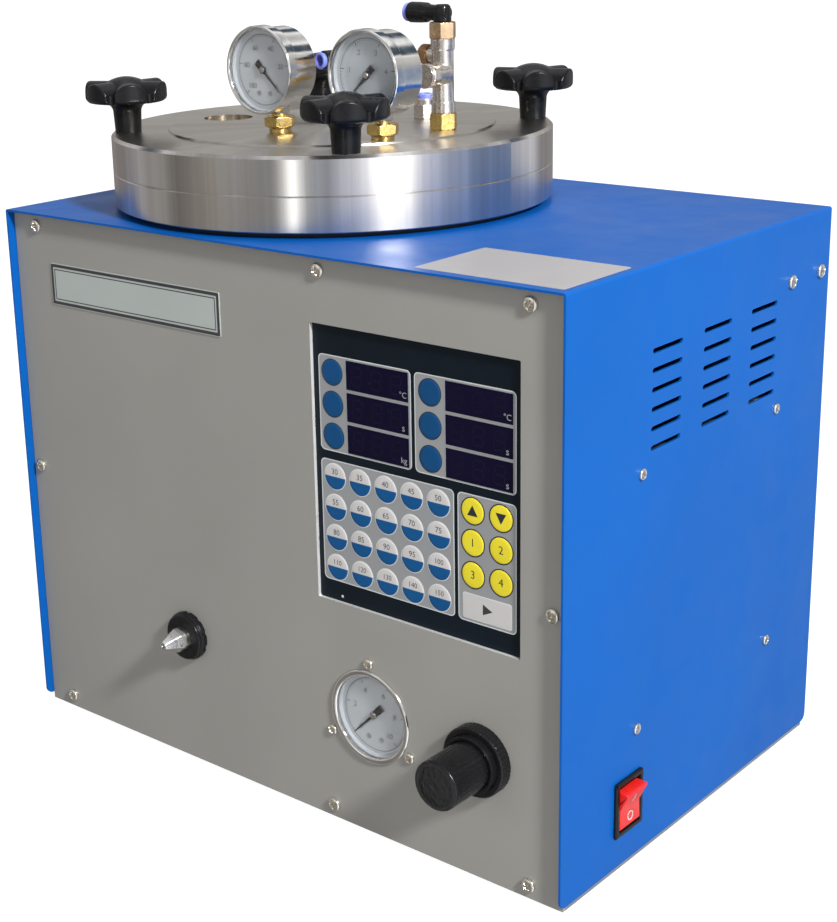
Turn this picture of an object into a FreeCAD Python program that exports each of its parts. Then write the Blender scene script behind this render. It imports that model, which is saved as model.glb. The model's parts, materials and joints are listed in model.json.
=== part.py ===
import FreeCAD, Part
import math
import os

# Jewelry wax injector: a sheet-metal cabinet with a heated wax tank let into its top.
# The tank is closed by a thick lid held down by four star knobs. The lid carries a vacuum
# gauge, a pressure gauge and three push-in hose ports. The front panel has a membrane
# keypad, a pressure gauge, a pressure regulator and the push-to-open wax nozzle.
# Millimetres, +Z up. Sub-parts are built about the cabinet's own centre, with z = 0 at the
# panel's lower edge, and moved into the object's frame when they are written.

# Cabinet
CABINET_WIDTH = 388.0
CABINET_DEPTH = 257.0
CABINET_HEIGHT = 311.4
SHEET = 1.2
COVER_SKIRT_GAP = 3.7
COVER_CORNER_R = 4.5
COVER_BEND_R = 1.5
PANEL_RECESS = 4.85
PANEL_THICK = 2.0
PANEL_SIDE_GAP = 0.4
TRAY_THICK = 1.5
TRAY_FLANGE = 14.0
FRAME_BORDER_SIDE = 22.0
FRAME_BORDER_END = 13.0
REAR_INSET = 2.0
REAR_THICK = 1.5
REAR_TAB_LENGTH = 50.0
REAR_TAB_HEIGHT = 32.0
FOOT_HEIGHT = 8.0
FOOT_R = 10.0
FOOT_INSET = 34.0

# Side vents and side screws (y, z about the cabinet's centre)
VENT_COLUMNS = 3
VENT_ROWS = 6
VENT_LENGTH = 27.5
VENT_WIDTH = 2.6
VENT_PITCH_Y = 48.3
VENT_PITCH_Z = 9.7
VENT_CENTRE_Y = 7.5
VENT_BELOW_TOP = 66.3
COVER_SCREW_BELOW_TOP = 33.6
COVER_SCREW_FROM_BACK = 27.9
COVER_SCREW_PITCH = 33.2
PLATE_SCREW_PITCH = 135.0
PLATE_CENTRE_Y = 5.0
PLATE_CENTRE_Z = 142.9
PLATE_MARGIN = 8.0
PLATE_THICK = 2.0
STANDOFF = 9.0
STANDOFF_R = 3.5
VALVE_BLOCK = (32.0, 28.0, 44.0)
VALVE_BLOCK_PITCH = 76.0

# Pan-head screws
M4_SHANK_R = 2.0
M4_HEAD_R = 3.75
M4_HEAD_H = 2.6
M3_SHANK_R = 1.5
M3_HEAD_R = 2.9
M3_HEAD_H = 2.1
SCREW_HOLE_GAP = 0.15
SCREW_LENGTH = 4.5
PANEL_SCREW_INSET = 21.6
PANEL_SCREW_MID_INSET = 8.4
PANEL_SCREW_OFF_X = 44.3
PANEL_SCREW_LOW_Z = 7.8
PANEL_SCREW_BELOW_TOP = 8.3

# Keypad and displays
WINDOW_WIDTH = 129.5
WINDOW_HEIGHT = 148.1
WINDOW_FROM_SIDE = 27.4
WINDOW_BELOW_TOP = 35.6
OVERLAY_LAP = 2.0
OVERLAY_THICK = 1.2
DISPLAY_WIDTH = 39.7
DISPLAY_HEIGHT = 15.0
DISPLAY_DEPTH = 8.0
DISPLAY_PITCH_Z = 16.7
DISPLAY_BELOW_WINDOW = 24.7
DISPLAY_IN_WINDOW = (41.8, 104.1)
DISPLAY_GAP = 0.2
DISPLAY_SET_BACK = 0.6
BOARD_THICK = 1.6
BOARD_BOSS_R = 3.0
BADGE_WIDTH = 136.6
BADGE_HEIGHT = 24.3
BADGE_FROM_SIDE = 31.4
BADGE_BELOW_TOP = 28.6
BADGE_THICK = 0.5

# Panel gauge (50 mm size) and lid gauges (40 mm size)
PANEL_GAUGE_X = 71.0
PANEL_GAUGE_Z = 68.0
PANEL_GAUGE_R = 25.0
PANEL_BEZEL_R = 26.3
PANEL_GAUGE_DEPTH = 30.0
GAUGE_SCREW_CIRCLE_R = 30.4
LID_GAUGE_R = 22.4
LID_BEZEL_R = 23.9
LID_GAUGE_DEPTH = 28.0
LID_GAUGE_RISE = 35.0
LID_GAUGE_FORWARD = 16.3
LID_GAUGE_STEM = 8.0
GAUGE_WALL = 1.2
GAUGE_SEAT = 0.8
GAUGE_LIP = 1.6
GAUGE_BACK_STEP = 4.0
GAUGE_CORNER = 1.5
PANEL_GAUGE_PROUD = 1.5
CLAMP_RING_MARGIN = 4.0
CLAMP_RING_THICK = 2.5
GLASS_THICK = 1.6
DIAL_THICK = 0.8
DIAL_DEPTH = 5.2
NEEDLE_THICK = 0.5
NEEDLE_SHAFT_R = 0.9
RUNNING_GAP = 0.06
GLASS_GAP = 0.15

# Pressure regulator
REGULATOR_FROM_SIDE = 51.5
REGULATOR_Z = 67.8
NUT_R = 18.65
NUT_THICK = 7.0
BONNET_R = 15.2
BONNET_REACH = 11.0
KNOB_R = 13.0
KNOB_REACH = 36.9
KNOB_START = 5.0
KNOB_RIBS = 30
NUT_RIBS = 48
REGULATOR_BLOCK = 38.0
REGULATOR_DEPTH = 46.0
REGULATOR_SPACE = 4.0
REGULATOR_KNOB_GAP = 0.3
REGULATOR_PORT_R = 5.0
REGULATOR_PORT_DEPTH = 12.0
STEM_LENGTH = 14.0
STEM_R = 3.0

# Nozzle
NOZZLE_FROM_TANK = 8.4
NOZZLE_Z = 78.0
NOZZLE_DISC_R = 14.15
NOZZLE_DISC_THICK = 5.8
NOZZLE_DISC_NOTCHES = 10
NOZZLE_R = 6.95
NOZZLE_REACH = 21.0
NOZZLE_TIP_FLATS = 4.6
NOZZLE_FLATS_START = 8.6
NOZZLE_BORE_R = 1.0
NOZZLE_TRAVEL = 3.0
NOZZLE_COLLAR_R = 8.5
NOZZLE_COLLAR_THICK = 3.0
NOZZLE_COLLAR_PLAY = 0.1
NOZZLE_TURN = 12.0
VALVE_R = 10.0
VALVE_COUNTERBORE = 2.5
SPRING_SPACE = 9.0

# Rocker switch on the right side (y, z)
ROCKER_FROM_FRONT = 59.6
ROCKER_Z = 36.3
ROCKER_BEZEL_Y = 25.3
ROCKER_BEZEL_Z = 31.0
ROCKER_BEZEL_THICK = 1.8
ROCKER_BODY_Y = 22.0
ROCKER_BODY_Z = 27.6
ROCKER_BODY_DEPTH = 18.0
ROCKER_OPEN_Y = 19.4
ROCKER_OPEN_Z = 25.4
ROCKER_GAP = 0.5
ROCKER_TILT = 12.0
ROCKER_PIVOT_DEPTH = 3.0
ROCKER_END_RISE = 2.4
ROCKER_END_GAP = 1.5
ROCKER_EDGE = 1.2
ROCKER_DISH = 2.4
ROCKER_HUB_R = 4.5
ROCKER_PIN_R = 1.5

# Tank, lid and star knobs
TANK_MARGIN = 12.3
TANK_Y = 2.0
FLANGE_R = 126.2
FLANGE_HEIGHT = 19.0
SEAT_HEIGHT = 3.0
SEAT_R = 119.0
TANK_SPACE = 30.5
TANK_WALL = 8.0
WELL_FLOOR_Z = 62.0
TANK_BOTTOM_Z = 52.0
FLOOR_SLOPE = 4.0
TANK_HOLE_GAP = 3.0
BOSS_R = 16.0
VALVE_LENGTH = 22.15
CHANNEL_R = 2.5
HEATER_THICK = 3.0
HEATER_Z0 = 110.0
HEATER_HEIGHT = 70.0
LID_HEIGHT = 20.8
LID_CHAMFER = 1.7
SEAM_CHAMFER = 0.5
LID_DISC_R = 94.0
LID_DISC_RISE = 1.0
SPIGOT_GAP = 0.5
SPIGOT_HEIGHT = 6.0
SEAL_STEP = 6.0
SEAL_WIDTH = 6.0
SEAL_DEPTH = 2.4
KNOB_CIRCLE_R = 116.4
KNOB_PHASE = -45.0
STUD_R = 4.0
STUD_IN_FLANGE = 15.0
STUD_IN_GRIP = 18.0
STUD_HOLE_GAP = 0.5
NECK_R = 7.4
NECK_TOP_R = 8.0
FLARE_R = 14.5
GRIP_R = 23.0
GRIP_SWEEP_GAP = 0.4
GRIP_LOBES = 6
LOBE_HALF_WIDTH = 9.15
LOBE_ARCH = 6.2
VALLEY_R = 1.8
GRIP_BOTTOM = 17.0
GRIP_TOP = 28.4
GRIP_CROWN = 31.0
GRIP_LOW_ROUND = 3.0
TIP_FILLET = 1.2
HUB_R = 17.0
GRIP_TURNS = (-44.0, -46.0, 20.0, -35.0)

# Lid fittings (x, y from the lid's centre)
VACUUM_GAUGE_AT = (2.1, -45.7)
PRESSURE_GAUGE_X = 73.6
TEE_AT = (73.0, 10.3)
ELBOW_PORT_AT = (-13.9, 35.5)
RISER_TURN = 12.0
STRAIGHT_PORT_AT = (33.0, 44.0)
FILL_PLUG_AT = (-70.9, -13.2)
FILL_POCKET_R = 14.5
FILL_POCKET_DEPTH = 6.0
FILL_HEAD_GAP = 0.6
FILL_HEAD_HEIGHT = 2.6
FILL_CORE_R = 9.0
FILL_CORE_LENGTH = 10.0
FILL_KEY_FLATS = 10.0
FILL_HOLE_R = 7.0
SHANK_R = 5.0
SHANK_LENGTH = 10.0
SHANK_GAP = 0.1
HEX_FLATS = 14.0
HEX_HEIGHT = 9.0
TEE_SPIGOT_R = 4.0
TEE_R = 5.9
TEE_COLLAR_R = 6.6
TEE_TOP = 49.0
TEE_BRANCH_Z = 30.0
TEE_BRANCH_REACH = 17.0
TEE_PLUG_Z = 40.0
TEE_HEX_HEIGHT = 8.8
TEE_HEX_FLATS = 13.5
TEE_COLLAR_HEIGHT = 5.5
TEE_BOSS_R = 4.4
TEE_BOSS_REACH = 8.5
ELBOW_R = 5.3
ELBOW_TAIL_R = 5.6
ELBOW_REACH = 22.0
ELBOW_RISE = 4.7
ELBOW_PIVOT_R = 3.6
ELBOW_PIVOT_DEPTH = 6.5
ELBOW_HUB_R = 4.9
ELBOW_ROOT_GAP = 0.4
RING_R = 4.9
RING_OUT = 2.6
RING_TRAVEL = 1.2
TUBE_R = 3.0
TUBE_DEPTH = 15.0
RISER_TOP = 28.5
STRAIGHT_BODY_HEIGHT = 11.5

# Rear panel
INLET_FROM_SIDE = 74.0
INLET_Z = 60.0
INLET_BODY = (27.0, 20.0)
INLET_FLANGE = (50.0, 22.6)
INLET_FLANGE_THICK = 3.0
INLET_DEPTH = 24.0
SOCKET = (24.0, 16.4, 17.5)
PIN = (2.0, 4.0, 12.0)
PORT_FROM_SIDE = (74.0, 104.0)
PORT_Z = 60.0
PORT_R = 7.0
PORT_FLATS = 16.0
PORT_REACH = 16.0
PORT_INSIDE = 14.0
REAR_VENT_ROWS = 8

FRONT_Y = -CABINET_DEPTH / 2
PANEL_Y = FRONT_Y + PANEL_RECESS
PANEL_BACK_Y = PANEL_Y + PANEL_THICK
FRAME_BACK_Y = PANEL_BACK_Y + TRAY_THICK
SIDE_X = CABINET_WIDTH / 2
INNER_X = SIDE_X - SHEET
REAR_Y = CABINET_DEPTH / 2 - REAR_INSET
VENT_CENTRE_Z = CABINET_HEIGHT - VENT_BELOW_TOP
COVER_SCREW_Z = CABINET_HEIGHT - COVER_SCREW_BELOW_TOP
COVER_SCREW_Y = CABINET_DEPTH / 2 - COVER_SCREW_FROM_BACK
PANEL_SCREW_X = SIDE_X - PANEL_SCREW_INSET
PANEL_SCREW_MID_X = SIDE_X - PANEL_SCREW_MID_INSET
PANEL_SCREW_MID_Z = CABINET_HEIGHT / 2
PANEL_SCREW_TOP_Z = CABINET_HEIGHT - PANEL_SCREW_BELOW_TOP
WINDOW_X1 = SIDE_X - WINDOW_FROM_SIDE
WINDOW_X0 = WINDOW_X1 - WINDOW_WIDTH
WINDOW_Z1 = CABINET_HEIGHT - WINDOW_BELOW_TOP
WINDOW_Z0 = WINDOW_Z1 - WINDOW_HEIGHT
DISPLAY_TOP_Z = WINDOW_Z1 - DISPLAY_BELOW_WINDOW
BADGE_X0 = BADGE_FROM_SIDE - SIDE_X
BADGE_Z1 = CABINET_HEIGHT - BADGE_BELOW_TOP
REGULATOR_X = SIDE_X - REGULATOR_FROM_SIDE
ROCKER_Y = FRONT_Y + ROCKER_FROM_FRONT
TANK_X = FLANGE_R + TANK_MARGIN - SIDE_X
TANK_R = CABINET_DEPTH / 2 - TANK_SPACE
WELL_R = TANK_R - TANK_WALL
SEAL_R0 = WELL_R + SEAL_STEP
SEAL_R1 = SEAL_R0 + SEAL_WIDTH
NOZZLE_X = TANK_X - NOZZLE_FROM_TANK
BOSS_FACE_Y = PANEL_Y - VALVE_COUNTERBORE + VALVE_LENGTH
INLET_X = SIDE_X - INLET_FROM_SIDE
PORT_X = [far - SIDE_X for far in PORT_FROM_SIDE]
FLANGE_Z = CABINET_HEIGHT + SEAT_HEIGHT
SEAM_Z = FLANGE_Z + FLANGE_HEIGHT
LID_Z = SEAM_Z + LID_HEIGHT
DISC_Z = LID_Z + LID_DISC_RISE
ROCKER_REST = math.radians(ROCKER_TILT)
ROCKER_EDGE_AT = ROCKER_OPEN_Z / 2 - ROCKER_END_GAP - ROCKER_EDGE
ROCKER_CREST = (ROCKER_END_RISE + ROCKER_PIVOT_DEPTH) * math.cos(ROCKER_REST)
ROCKER_TOP_REACH = ROCKER_CREST + ROCKER_EDGE_AT * math.sin(ROCKER_REST) - ROCKER_PIVOT_DEPTH
RIGHT_REACH = SIDE_X + ROCKER_BEZEL_THICK + ROCKER_TOP_REACH
LEFT_REACH = SIDE_X + M4_HEAD_H
FRONT_REACH = -PANEL_Y + KNOB_REACH
BACK_REACH = REAR_Y + PORT_REACH
KNOB_FRONT_Y = KNOB_CIRCLE_R * math.sin(math.radians(KNOB_PHASE))
PRESSURE_GAUGE_Y = KNOB_FRONT_Y + GRIP_R + GRIP_SWEEP_GAP + LID_GAUGE_FORWARD
PRESSURE_GAUGE_AT = (PRESSURE_GAUGE_X, PRESSURE_GAUGE_Y)
SHIFT = FreeCAD.Vector((LEFT_REACH - RIGHT_REACH) / 2, (FRONT_REACH - BACK_REACH) / 2, FOOT_HEIGHT)


def vec(x, y, z):
    return FreeCAD.Vector(x, y, z)


X_AXIS = vec(1, 0, 0)
Y_AXIS = vec(0, 1, 0)
Z_AXIS = vec(0, 0, 1)
OUT = vec(0, -1, 0)


def box(x0, x1, y0, y1, z0, z1):
    return Part.makeBox(x1 - x0, y1 - y0, z1 - z0, vec(x0, y0, z0))


def rod(at, direction, radius, length):
    return Part.makeCylinder(radius, length, at, direction)


def placed(shape, at, direction):
    """Move a shape built up +Z from the origin so that it starts at a point, along a direction."""
    out = shape.copy()
    out.Placement = FreeCAD.Placement(at, FreeCAD.Rotation(Z_AXIS, direction))
    return out


def turned(profile, at, direction=Z_AXIS):
    """Revolve a closed profile of (radius, height) points; three numbers more make an arc's middle."""
    edges = []
    last = vec(profile[-1][0], 0, profile[-1][1])
    for point in profile:
        here = vec(point[0], 0, point[1])
        if len(point) == 4:
            edges.append(Part.Arc(last, vec(point[2], 0, point[3]), here).toShape())
        elif last.sub(here).Length > 1e-7:
            edges.append(Part.makeLine(last, here))
        last = here
    face = Part.Face(Part.Wire(edges))
    return placed(face.revolve(vec(0, 0, 0), Z_AXIS, 360), at, direction)


def prism(points, direction):
    """Extrude a closed polygon of 3-D points along a vector."""
    return Part.Face(Part.makePolygon(points + [points[0]])).extrude(direction)


def hexagon(flats, height, at, direction=Z_AXIS, edge=0.6):
    """A hexagon bar with the corners of both ends turned down."""
    corner = flats / math.sqrt(3)
    points = [vec(corner * math.cos(math.radians(60 * k)), corner * math.sin(math.radians(60 * k)), 0)
              for k in range(6)]
    bar = prism(points, vec(0, 0, height))
    round_r = flats / 2 + 0.05
    blank = turned([(0, 0), (round_r, 0), (corner, edge), (corner, height - edge), (round_r, height),
                    (0, height)], vec(0, 0, 0))
    return placed(bar.common(blank), at, direction)


def rounded_plate(x0, x1, z0, z1, y0, y1, radius):
    """A plate in the XZ plane with four rounded corners."""
    plate = box(x0, x1, y0, y1, z0, z1)
    corners = [e for e in plate.Edges if abs(e.tangentAt(e.FirstParameter).y) > 0.9]
    return plate.makeFillet(radius, corners)


def side_slot(side, y, z, length, width):
    """A round-ended slot cutter through one side wall."""
    half = (length - width) / 2
    x0 = side * (SIDE_X + 1)
    body = box(min(x0, x0 - side * (SHEET + 2)), max(x0, x0 - side * (SHEET + 2)),
               y - half, y + half, z - width / 2, z + width / 2)
    for end in (y - half, y + half):
        body = body.fuse(rod(vec(x0, end, z), vec(-side, 0, 0), width / 2, SHEET + 2))
    return body


def cap(radius, low, high):
    """Profile point on the axis at the top of a ball's cap, with its arc's middle."""
    centre = (high ** 2 - low ** 2 - radius ** 2) / (2 * (high - low))
    ball = high - centre
    bend = math.atan2(radius, low - centre) / 2
    return (0, high, ball * math.sin(bend), centre + ball * math.cos(bend))


def screw(at, out, shank_r, head_r, head_h, length):
    """A pan-head screw whose head stands out of a face at a point."""
    side = head_h * 0.55
    profile = [(0, -length), (shank_r, -length), (shank_r, 0), (head_r, 0), (head_r, side),
               cap(head_r, side, head_h)]
    return turned(profile, at, out)


def panel_screw_points():
    corners = [(x, z) for x in (-PANEL_SCREW_X, PANEL_SCREW_X)
               for z in (PANEL_SCREW_LOW_Z, PANEL_SCREW_TOP_Z)]
    middles = [(PANEL_SCREW_OFF_X, z) for z in (PANEL_SCREW_LOW_Z, PANEL_SCREW_TOP_Z)]
    sides = [(x, PANEL_SCREW_MID_Z) for x in (-PANEL_SCREW_MID_X, PANEL_SCREW_MID_X)]
    return corners + middles + sides


def gauge_screw_points():
    turn = [math.radians(90 + 120 * k) for k in range(3)]
    return [(PANEL_GAUGE_X + GAUGE_SCREW_CIRCLE_R * math.cos(a),
             PANEL_GAUGE_Z + GAUGE_SCREW_CIRCLE_R * math.sin(a)) for a in turn]


def cover_screw_points():
    return [(COVER_SCREW_Y + k * COVER_SCREW_PITCH / 2, COVER_SCREW_Z) for k in (-1, 1)]


def plate_screw_points():
    half = PLATE_SCREW_PITCH / 2
    return [(PLATE_CENTRE_Y + j * half, PLATE_CENTRE_Z + k * half) for j in (-1, 1) for k in (-1, 1)]


def foot_points():
    x = SIDE_X - FOOT_INSET
    y = CABINET_DEPTH / 2 - FOOT_INSET
    return [(i * x, j * y) for i in (-1, 1) for j in (-1, 1)]


def wrap_cover():
    """Top and both sides: one sheet bent to an inverted U, open at the front and the back."""
    y0, y1 = FRONT_Y, -FRONT_Y
    outer = box(-SIDE_X, SIDE_X, y0, y1, COVER_SKIRT_GAP, CABINET_HEIGHT)
    bends = [e for e in outer.Edges if abs(e.tangentAt(e.FirstParameter).y) > 0.9
             and e.CenterOfMass.z > CABINET_HEIGHT - 1]
    outer = outer.makeFillet(COVER_BEND_R, bends)
    cover = outer.cut(box(-INNER_X, INNER_X, y0 - 1, y1 + 1, COVER_SKIRT_GAP - 1, CABINET_HEIGHT - SHEET))
    low = [e for e in cover.Edges if abs(e.tangentAt(e.FirstParameter).x) > 0.9
           and e.CenterOfMass.z < COVER_SKIRT_GAP + 1]
    cover = cover.makeFillet(COVER_CORNER_R, low)
    cuts = [rod(vec(TANK_X, TANK_Y, CABINET_HEIGHT - 5), Z_AXIS, TANK_R + TANK_HOLE_GAP, 10)]
    for side in (-1, 1):
        for i in range(VENT_COLUMNS):
            for j in range(VENT_ROWS):
                y = VENT_CENTRE_Y + (i - (VENT_COLUMNS - 1) / 2) * VENT_PITCH_Y
                z = VENT_CENTRE_Z + (j - (VENT_ROWS - 1) / 2) * VENT_PITCH_Z
                cuts.append(side_slot(side, y, z, VENT_LENGTH, VENT_WIDTH))
        for y, z in cover_screw_points():
            cuts.append(rod(vec(side * (SIDE_X + 1), y, z), vec(-side, 0, 0), M4_SHANK_R + SCREW_HOLE_GAP, 4))
    for y, z in plate_screw_points():
        cuts.append(rod(vec(SIDE_X + 1, y, z), vec(-1, 0, 0), M3_SHANK_R + SCREW_HOLE_GAP, 4))
    cuts.append(box(SIDE_X - 3, SIDE_X + 1, ROCKER_Y - ROCKER_BODY_Y / 2 - 0.2, ROCKER_Y
                    + ROCKER_BODY_Y / 2 + 0.2,
                    ROCKER_Z - ROCKER_BODY_Z / 2 - 0.2, ROCKER_Z + ROCKER_BODY_Z / 2 + 0.2))
    return cover.cut(cuts)


def base_tray():
    """Floor of the cabinet with low side flanges."""
    x = INNER_X - PANEL_SIDE_GAP
    rear = REAR_Y - REAR_THICK
    floor = box(-x, x, FRAME_BACK_Y, rear, 0, TRAY_THICK)
    sides = [box(min(s * x, s * (x - TRAY_THICK)), max(s * x, s * (x - TRAY_THICK)), FRAME_BACK_Y, rear, 0,
                 TRAY_FLANGE)
             for s in (-1, 1)]
    tray = floor.fuse(sides).removeSplitter()
    return tray.cut([rod(vec(x, y, -1), Z_AXIS, M4_SHANK_R + SCREW_HOLE_GAP, TRAY_THICK + 2) for x,
                     y in foot_points()])


def front_frame():
    """Open frame behind the panel, which the panel's screws hold on to."""
    x = INNER_X - PANEL_SIDE_GAP
    top = CABINET_HEIGHT - SHEET - PANEL_SIDE_GAP
    frame = box(-x, x, PANEL_BACK_Y, FRAME_BACK_Y, 0, top)
    window = rounded_plate(-x + FRAME_BORDER_SIDE, x - FRAME_BORDER_SIDE, FRAME_BORDER_END, top
                           - FRAME_BORDER_END,
                           PANEL_BACK_Y - 1, FRAME_BACK_Y + 1, 6.0)
    holes = [rod(vec(px, PANEL_BACK_Y - 1, pz), Y_AXIS, M4_SHANK_R + SCREW_HOLE_GAP, TRAY_THICK + 2)
             for px, pz in panel_screw_points()]
    return frame.cut([window] + holes)


def feet():
    """Four moulded rubber feet, each with a stud pushed up through the floor."""
    taper = 1.2
    profile = [(0, -FOOT_HEIGHT), (FOOT_R - taper, -FOOT_HEIGHT), (FOOT_R, 0), (M4_SHANK_R, 0),
               (M4_SHANK_R, TRAY_THICK), (3.2, TRAY_THICK), (M4_SHANK_R, TRAY_THICK + 2.5),
               (0, TRAY_THICK + 2.5)]
    return Part.makeCompound([turned(profile, vec(x, y, 0)) for x, y in foot_points()])


def front_panel():
    """Flat panel plate with the keypad window and round cut-outs."""
    x = INNER_X - PANEL_SIDE_GAP
    top = CABINET_HEIGHT - SHEET - PANEL_SIDE_GAP
    plate = box(-x, x, PANEL_Y, PANEL_BACK_Y, 0, top)
    y0 = PANEL_Y - 1
    deep = PANEL_THICK + 2
    cuts = [rounded_plate(WINDOW_X0, WINDOW_X1, WINDOW_Z0, WINDOW_Z1, y0, y0 + deep, 0.8)]
    cuts.append(rod(vec(PANEL_GAUGE_X, y0, PANEL_GAUGE_Z), Y_AXIS, PANEL_GAUGE_R + 0.3, deep))
    cuts.append(rod(vec(REGULATOR_X, y0, REGULATOR_Z), Y_AXIS, BONNET_R + 0.2, deep))
    cuts.append(rod(vec(NOZZLE_X, y0, NOZZLE_Z), Y_AXIS, VALVE_R + 0.3, deep))
    cuts += [rod(vec(px, y0, pz), Y_AXIS, M4_SHANK_R + SCREW_HOLE_GAP, deep) for px,
             pz in panel_screw_points()]
    cuts += [rod(vec(px, y0, pz), Y_AXIS, M3_SHANK_R + SCREW_HOLE_GAP, deep) for px,
             pz in gauge_screw_points()]
    return plate.cut(cuts)


def rear_panel():
    """Back plate with bent tabs that take the cover screws, vents, the inlet and two ports."""
    x = INNER_X - PANEL_SIDE_GAP
    top = CABINET_HEIGHT - SHEET - PANEL_SIDE_GAP
    front = REAR_Y - REAR_THICK
    plate = box(-x, x, front, REAR_Y, 0, top)
    z0 = COVER_SCREW_Z - REAR_TAB_HEIGHT / 2
    tabs = [box(min(s * x, s * (x - REAR_THICK)), max(s * x, s * (x - REAR_THICK)), REAR_Y - REAR_TAB_LENGTH,
                REAR_Y, z0, z0 + REAR_TAB_HEIGHT) for s in (-1, 1)]
    panel = plate.fuse(tabs).removeSplitter()
    cuts = []
    for s in (-1, 1):
        for y, z in cover_screw_points():
            cuts.append(rod(vec(s * (x + 1), y, z), vec(-s, 0, 0), M4_SHANK_R + SCREW_HOLE_GAP, REAR_THICK
                            + 2))
    half_w, half_h = INLET_BODY[0] / 2 + 0.2, INLET_BODY[1] / 2 + 0.2
    cuts.append(box(INLET_X - half_w, INLET_X + half_w, front - 1, REAR_Y + 1, INLET_Z - half_h, INLET_Z
                    + half_h))
    cuts += [rod(vec(px, front - 1, PORT_Z), Y_AXIS, PORT_R + 0.2, REAR_THICK + 2) for px in PORT_X]
    for row in range(REAR_VENT_ROWS):
        z = VENT_CENTRE_Z + (row - (REAR_VENT_ROWS - 1) / 2) * VENT_PITCH_Z
        for k in (-1, 1):
            cuts.append(rounded_plate(k * VENT_PITCH_Y - VENT_LENGTH / 2, k * VENT_PITCH_Y + VENT_LENGTH / 2,
                                      z - VENT_WIDTH / 2, z + VENT_WIDTH / 2, front - 1, REAR_Y + 1,
                                      VENT_WIDTH / 2.2))
    return panel.cut(cuts)


def panel_screws():
    """Eight screws hold the panel and three the gauge's clamp ring."""
    reach = PANEL_THICK + TRAY_THICK + 1.5
    m4 = [screw(vec(x, PANEL_Y, z), OUT, M4_SHANK_R, M4_HEAD_R, M4_HEAD_H, reach) for x,
          z in panel_screw_points()]
    m3 = [screw(vec(x, PANEL_Y, z), OUT, M3_SHANK_R, M3_HEAD_R, M3_HEAD_H, reach) for x,
          z in gauge_screw_points()]
    return Part.makeCompound(m4 + m3)


def side_screws():
    """Two cover screws on each side, and four that hold the inner plate on the right."""
    solids = []
    for s in (-1, 1):
        for y, z in cover_screw_points():
            solids.append(screw(vec(s * SIDE_X, y, z), vec(s, 0, 0), M4_SHANK_R, M4_HEAD_R, M4_HEAD_H,
                                SCREW_LENGTH))
    for y, z in plate_screw_points():
        solids.append(screw(vec(SIDE_X, y, z), X_AXIS, M3_SHANK_R, M3_HEAD_R, M3_HEAD_H, SCREW_LENGTH))
    return Part.makeCompound(solids)


def inner_plate():
    """Plate inside the right wall on four spacers, with two valve blocks on it."""
    half = PLATE_SCREW_PITCH / 2 + PLATE_MARGIN
    x1 = INNER_X - STANDOFF
    plate = box(x1 - PLATE_THICK, x1, PLATE_CENTRE_Y - half, PLATE_CENTRE_Y + half,
                PLATE_CENTRE_Z - half, PLATE_CENTRE_Z + half)
    posts = [rod(vec(x1, y, z), X_AXIS, STANDOFF_R, STANDOFF) for y, z in plate_screw_points()]
    deep, wide, tall = VALVE_BLOCK
    x0 = x1 - PLATE_THICK
    blocks = []
    for k in (-1, 1):
        y = PLATE_CENTRE_Y + k * VALVE_BLOCK_PITCH / 2
        blocks.append(box(x0 - deep, x0, y - wide / 2, y + wide / 2, PLATE_CENTRE_Z - tall / 2,
                          PLATE_CENTRE_Z + tall / 2))
    plate = plate.fuse(posts + blocks).removeSplitter()
    reach = SCREW_LENGTH - SHEET + 1
    return plate.cut([rod(vec(INNER_X, y, z), vec(-1, 0, 0), M3_SHANK_R + SCREW_HOLE_GAP, reach)
                      for y, z in plate_screw_points()])


def keypad_overlay():
    """Membrane sheet behind the panel's window, with openings for six displays."""
    lap = OVERLAY_LAP
    sheet = box(WINDOW_X0 - lap, WINDOW_X1 + lap, PANEL_BACK_Y, PANEL_BACK_Y + OVERLAY_THICK,
                WINDOW_Z0 - lap, WINDOW_Z1 + lap)
    return sheet.cut([display_block(x, z, DISPLAY_GAP, PANEL_BACK_Y - 1) for x, z in display_points()])


def display_points():
    return [(WINDOW_X0 + x, DISPLAY_TOP_Z - k * DISPLAY_PITCH_Z) for x in DISPLAY_IN_WINDOW for k in range(3)]


def display_block(x, z, grow, front):
    """One three-digit display; grown, it is the cutter for its opening."""
    w = DISPLAY_WIDTH / 2 + grow
    h = DISPLAY_HEIGHT / 2 + grow
    return box(x - w, x + w, front, PANEL_BACK_Y + OVERLAY_THICK + DISPLAY_DEPTH, z - h, z + h)


def display_modules():
    front = PANEL_BACK_Y + DISPLAY_SET_BACK
    return Part.makeCompound([display_block(x, z, 0, front) for x, z in display_points()])


def control_board():
    """Circuit board behind the displays, on four bosses that reach the overlay."""
    y0 = PANEL_BACK_Y + OVERLAY_THICK + DISPLAY_DEPTH
    board = box(WINDOW_X0, WINDOW_X1, y0, y0 + BOARD_THICK, WINDOW_Z0, WINDOW_Z1)
    edge = BOARD_BOSS_R + 0.5
    bosses = [rod(vec(x, y0, z), OUT, BOARD_BOSS_R, DISPLAY_DEPTH)
              for x in (WINDOW_X0 + edge, WINDOW_X1 - edge) for z in (WINDOW_Z0 + edge, WINDOW_Z1 - edge)]
    return board.fuse(bosses).removeSplitter()


def badge_plate():
    return rounded_plate(BADGE_X0, BADGE_X0 + BADGE_WIDTH, BADGE_Z1 - BADGE_HEIGHT, BADGE_Z1,
                         PANEL_Y - BADGE_THICK, PANEL_Y, 1.0)


def gauge_bore(case_r, bezel_r, flush):
    """Inner radius where the dial and the glass sit: in the case if flush, else in the wider bezel."""
    return (case_r if flush else bezel_r) - GAUGE_WALL


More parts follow.
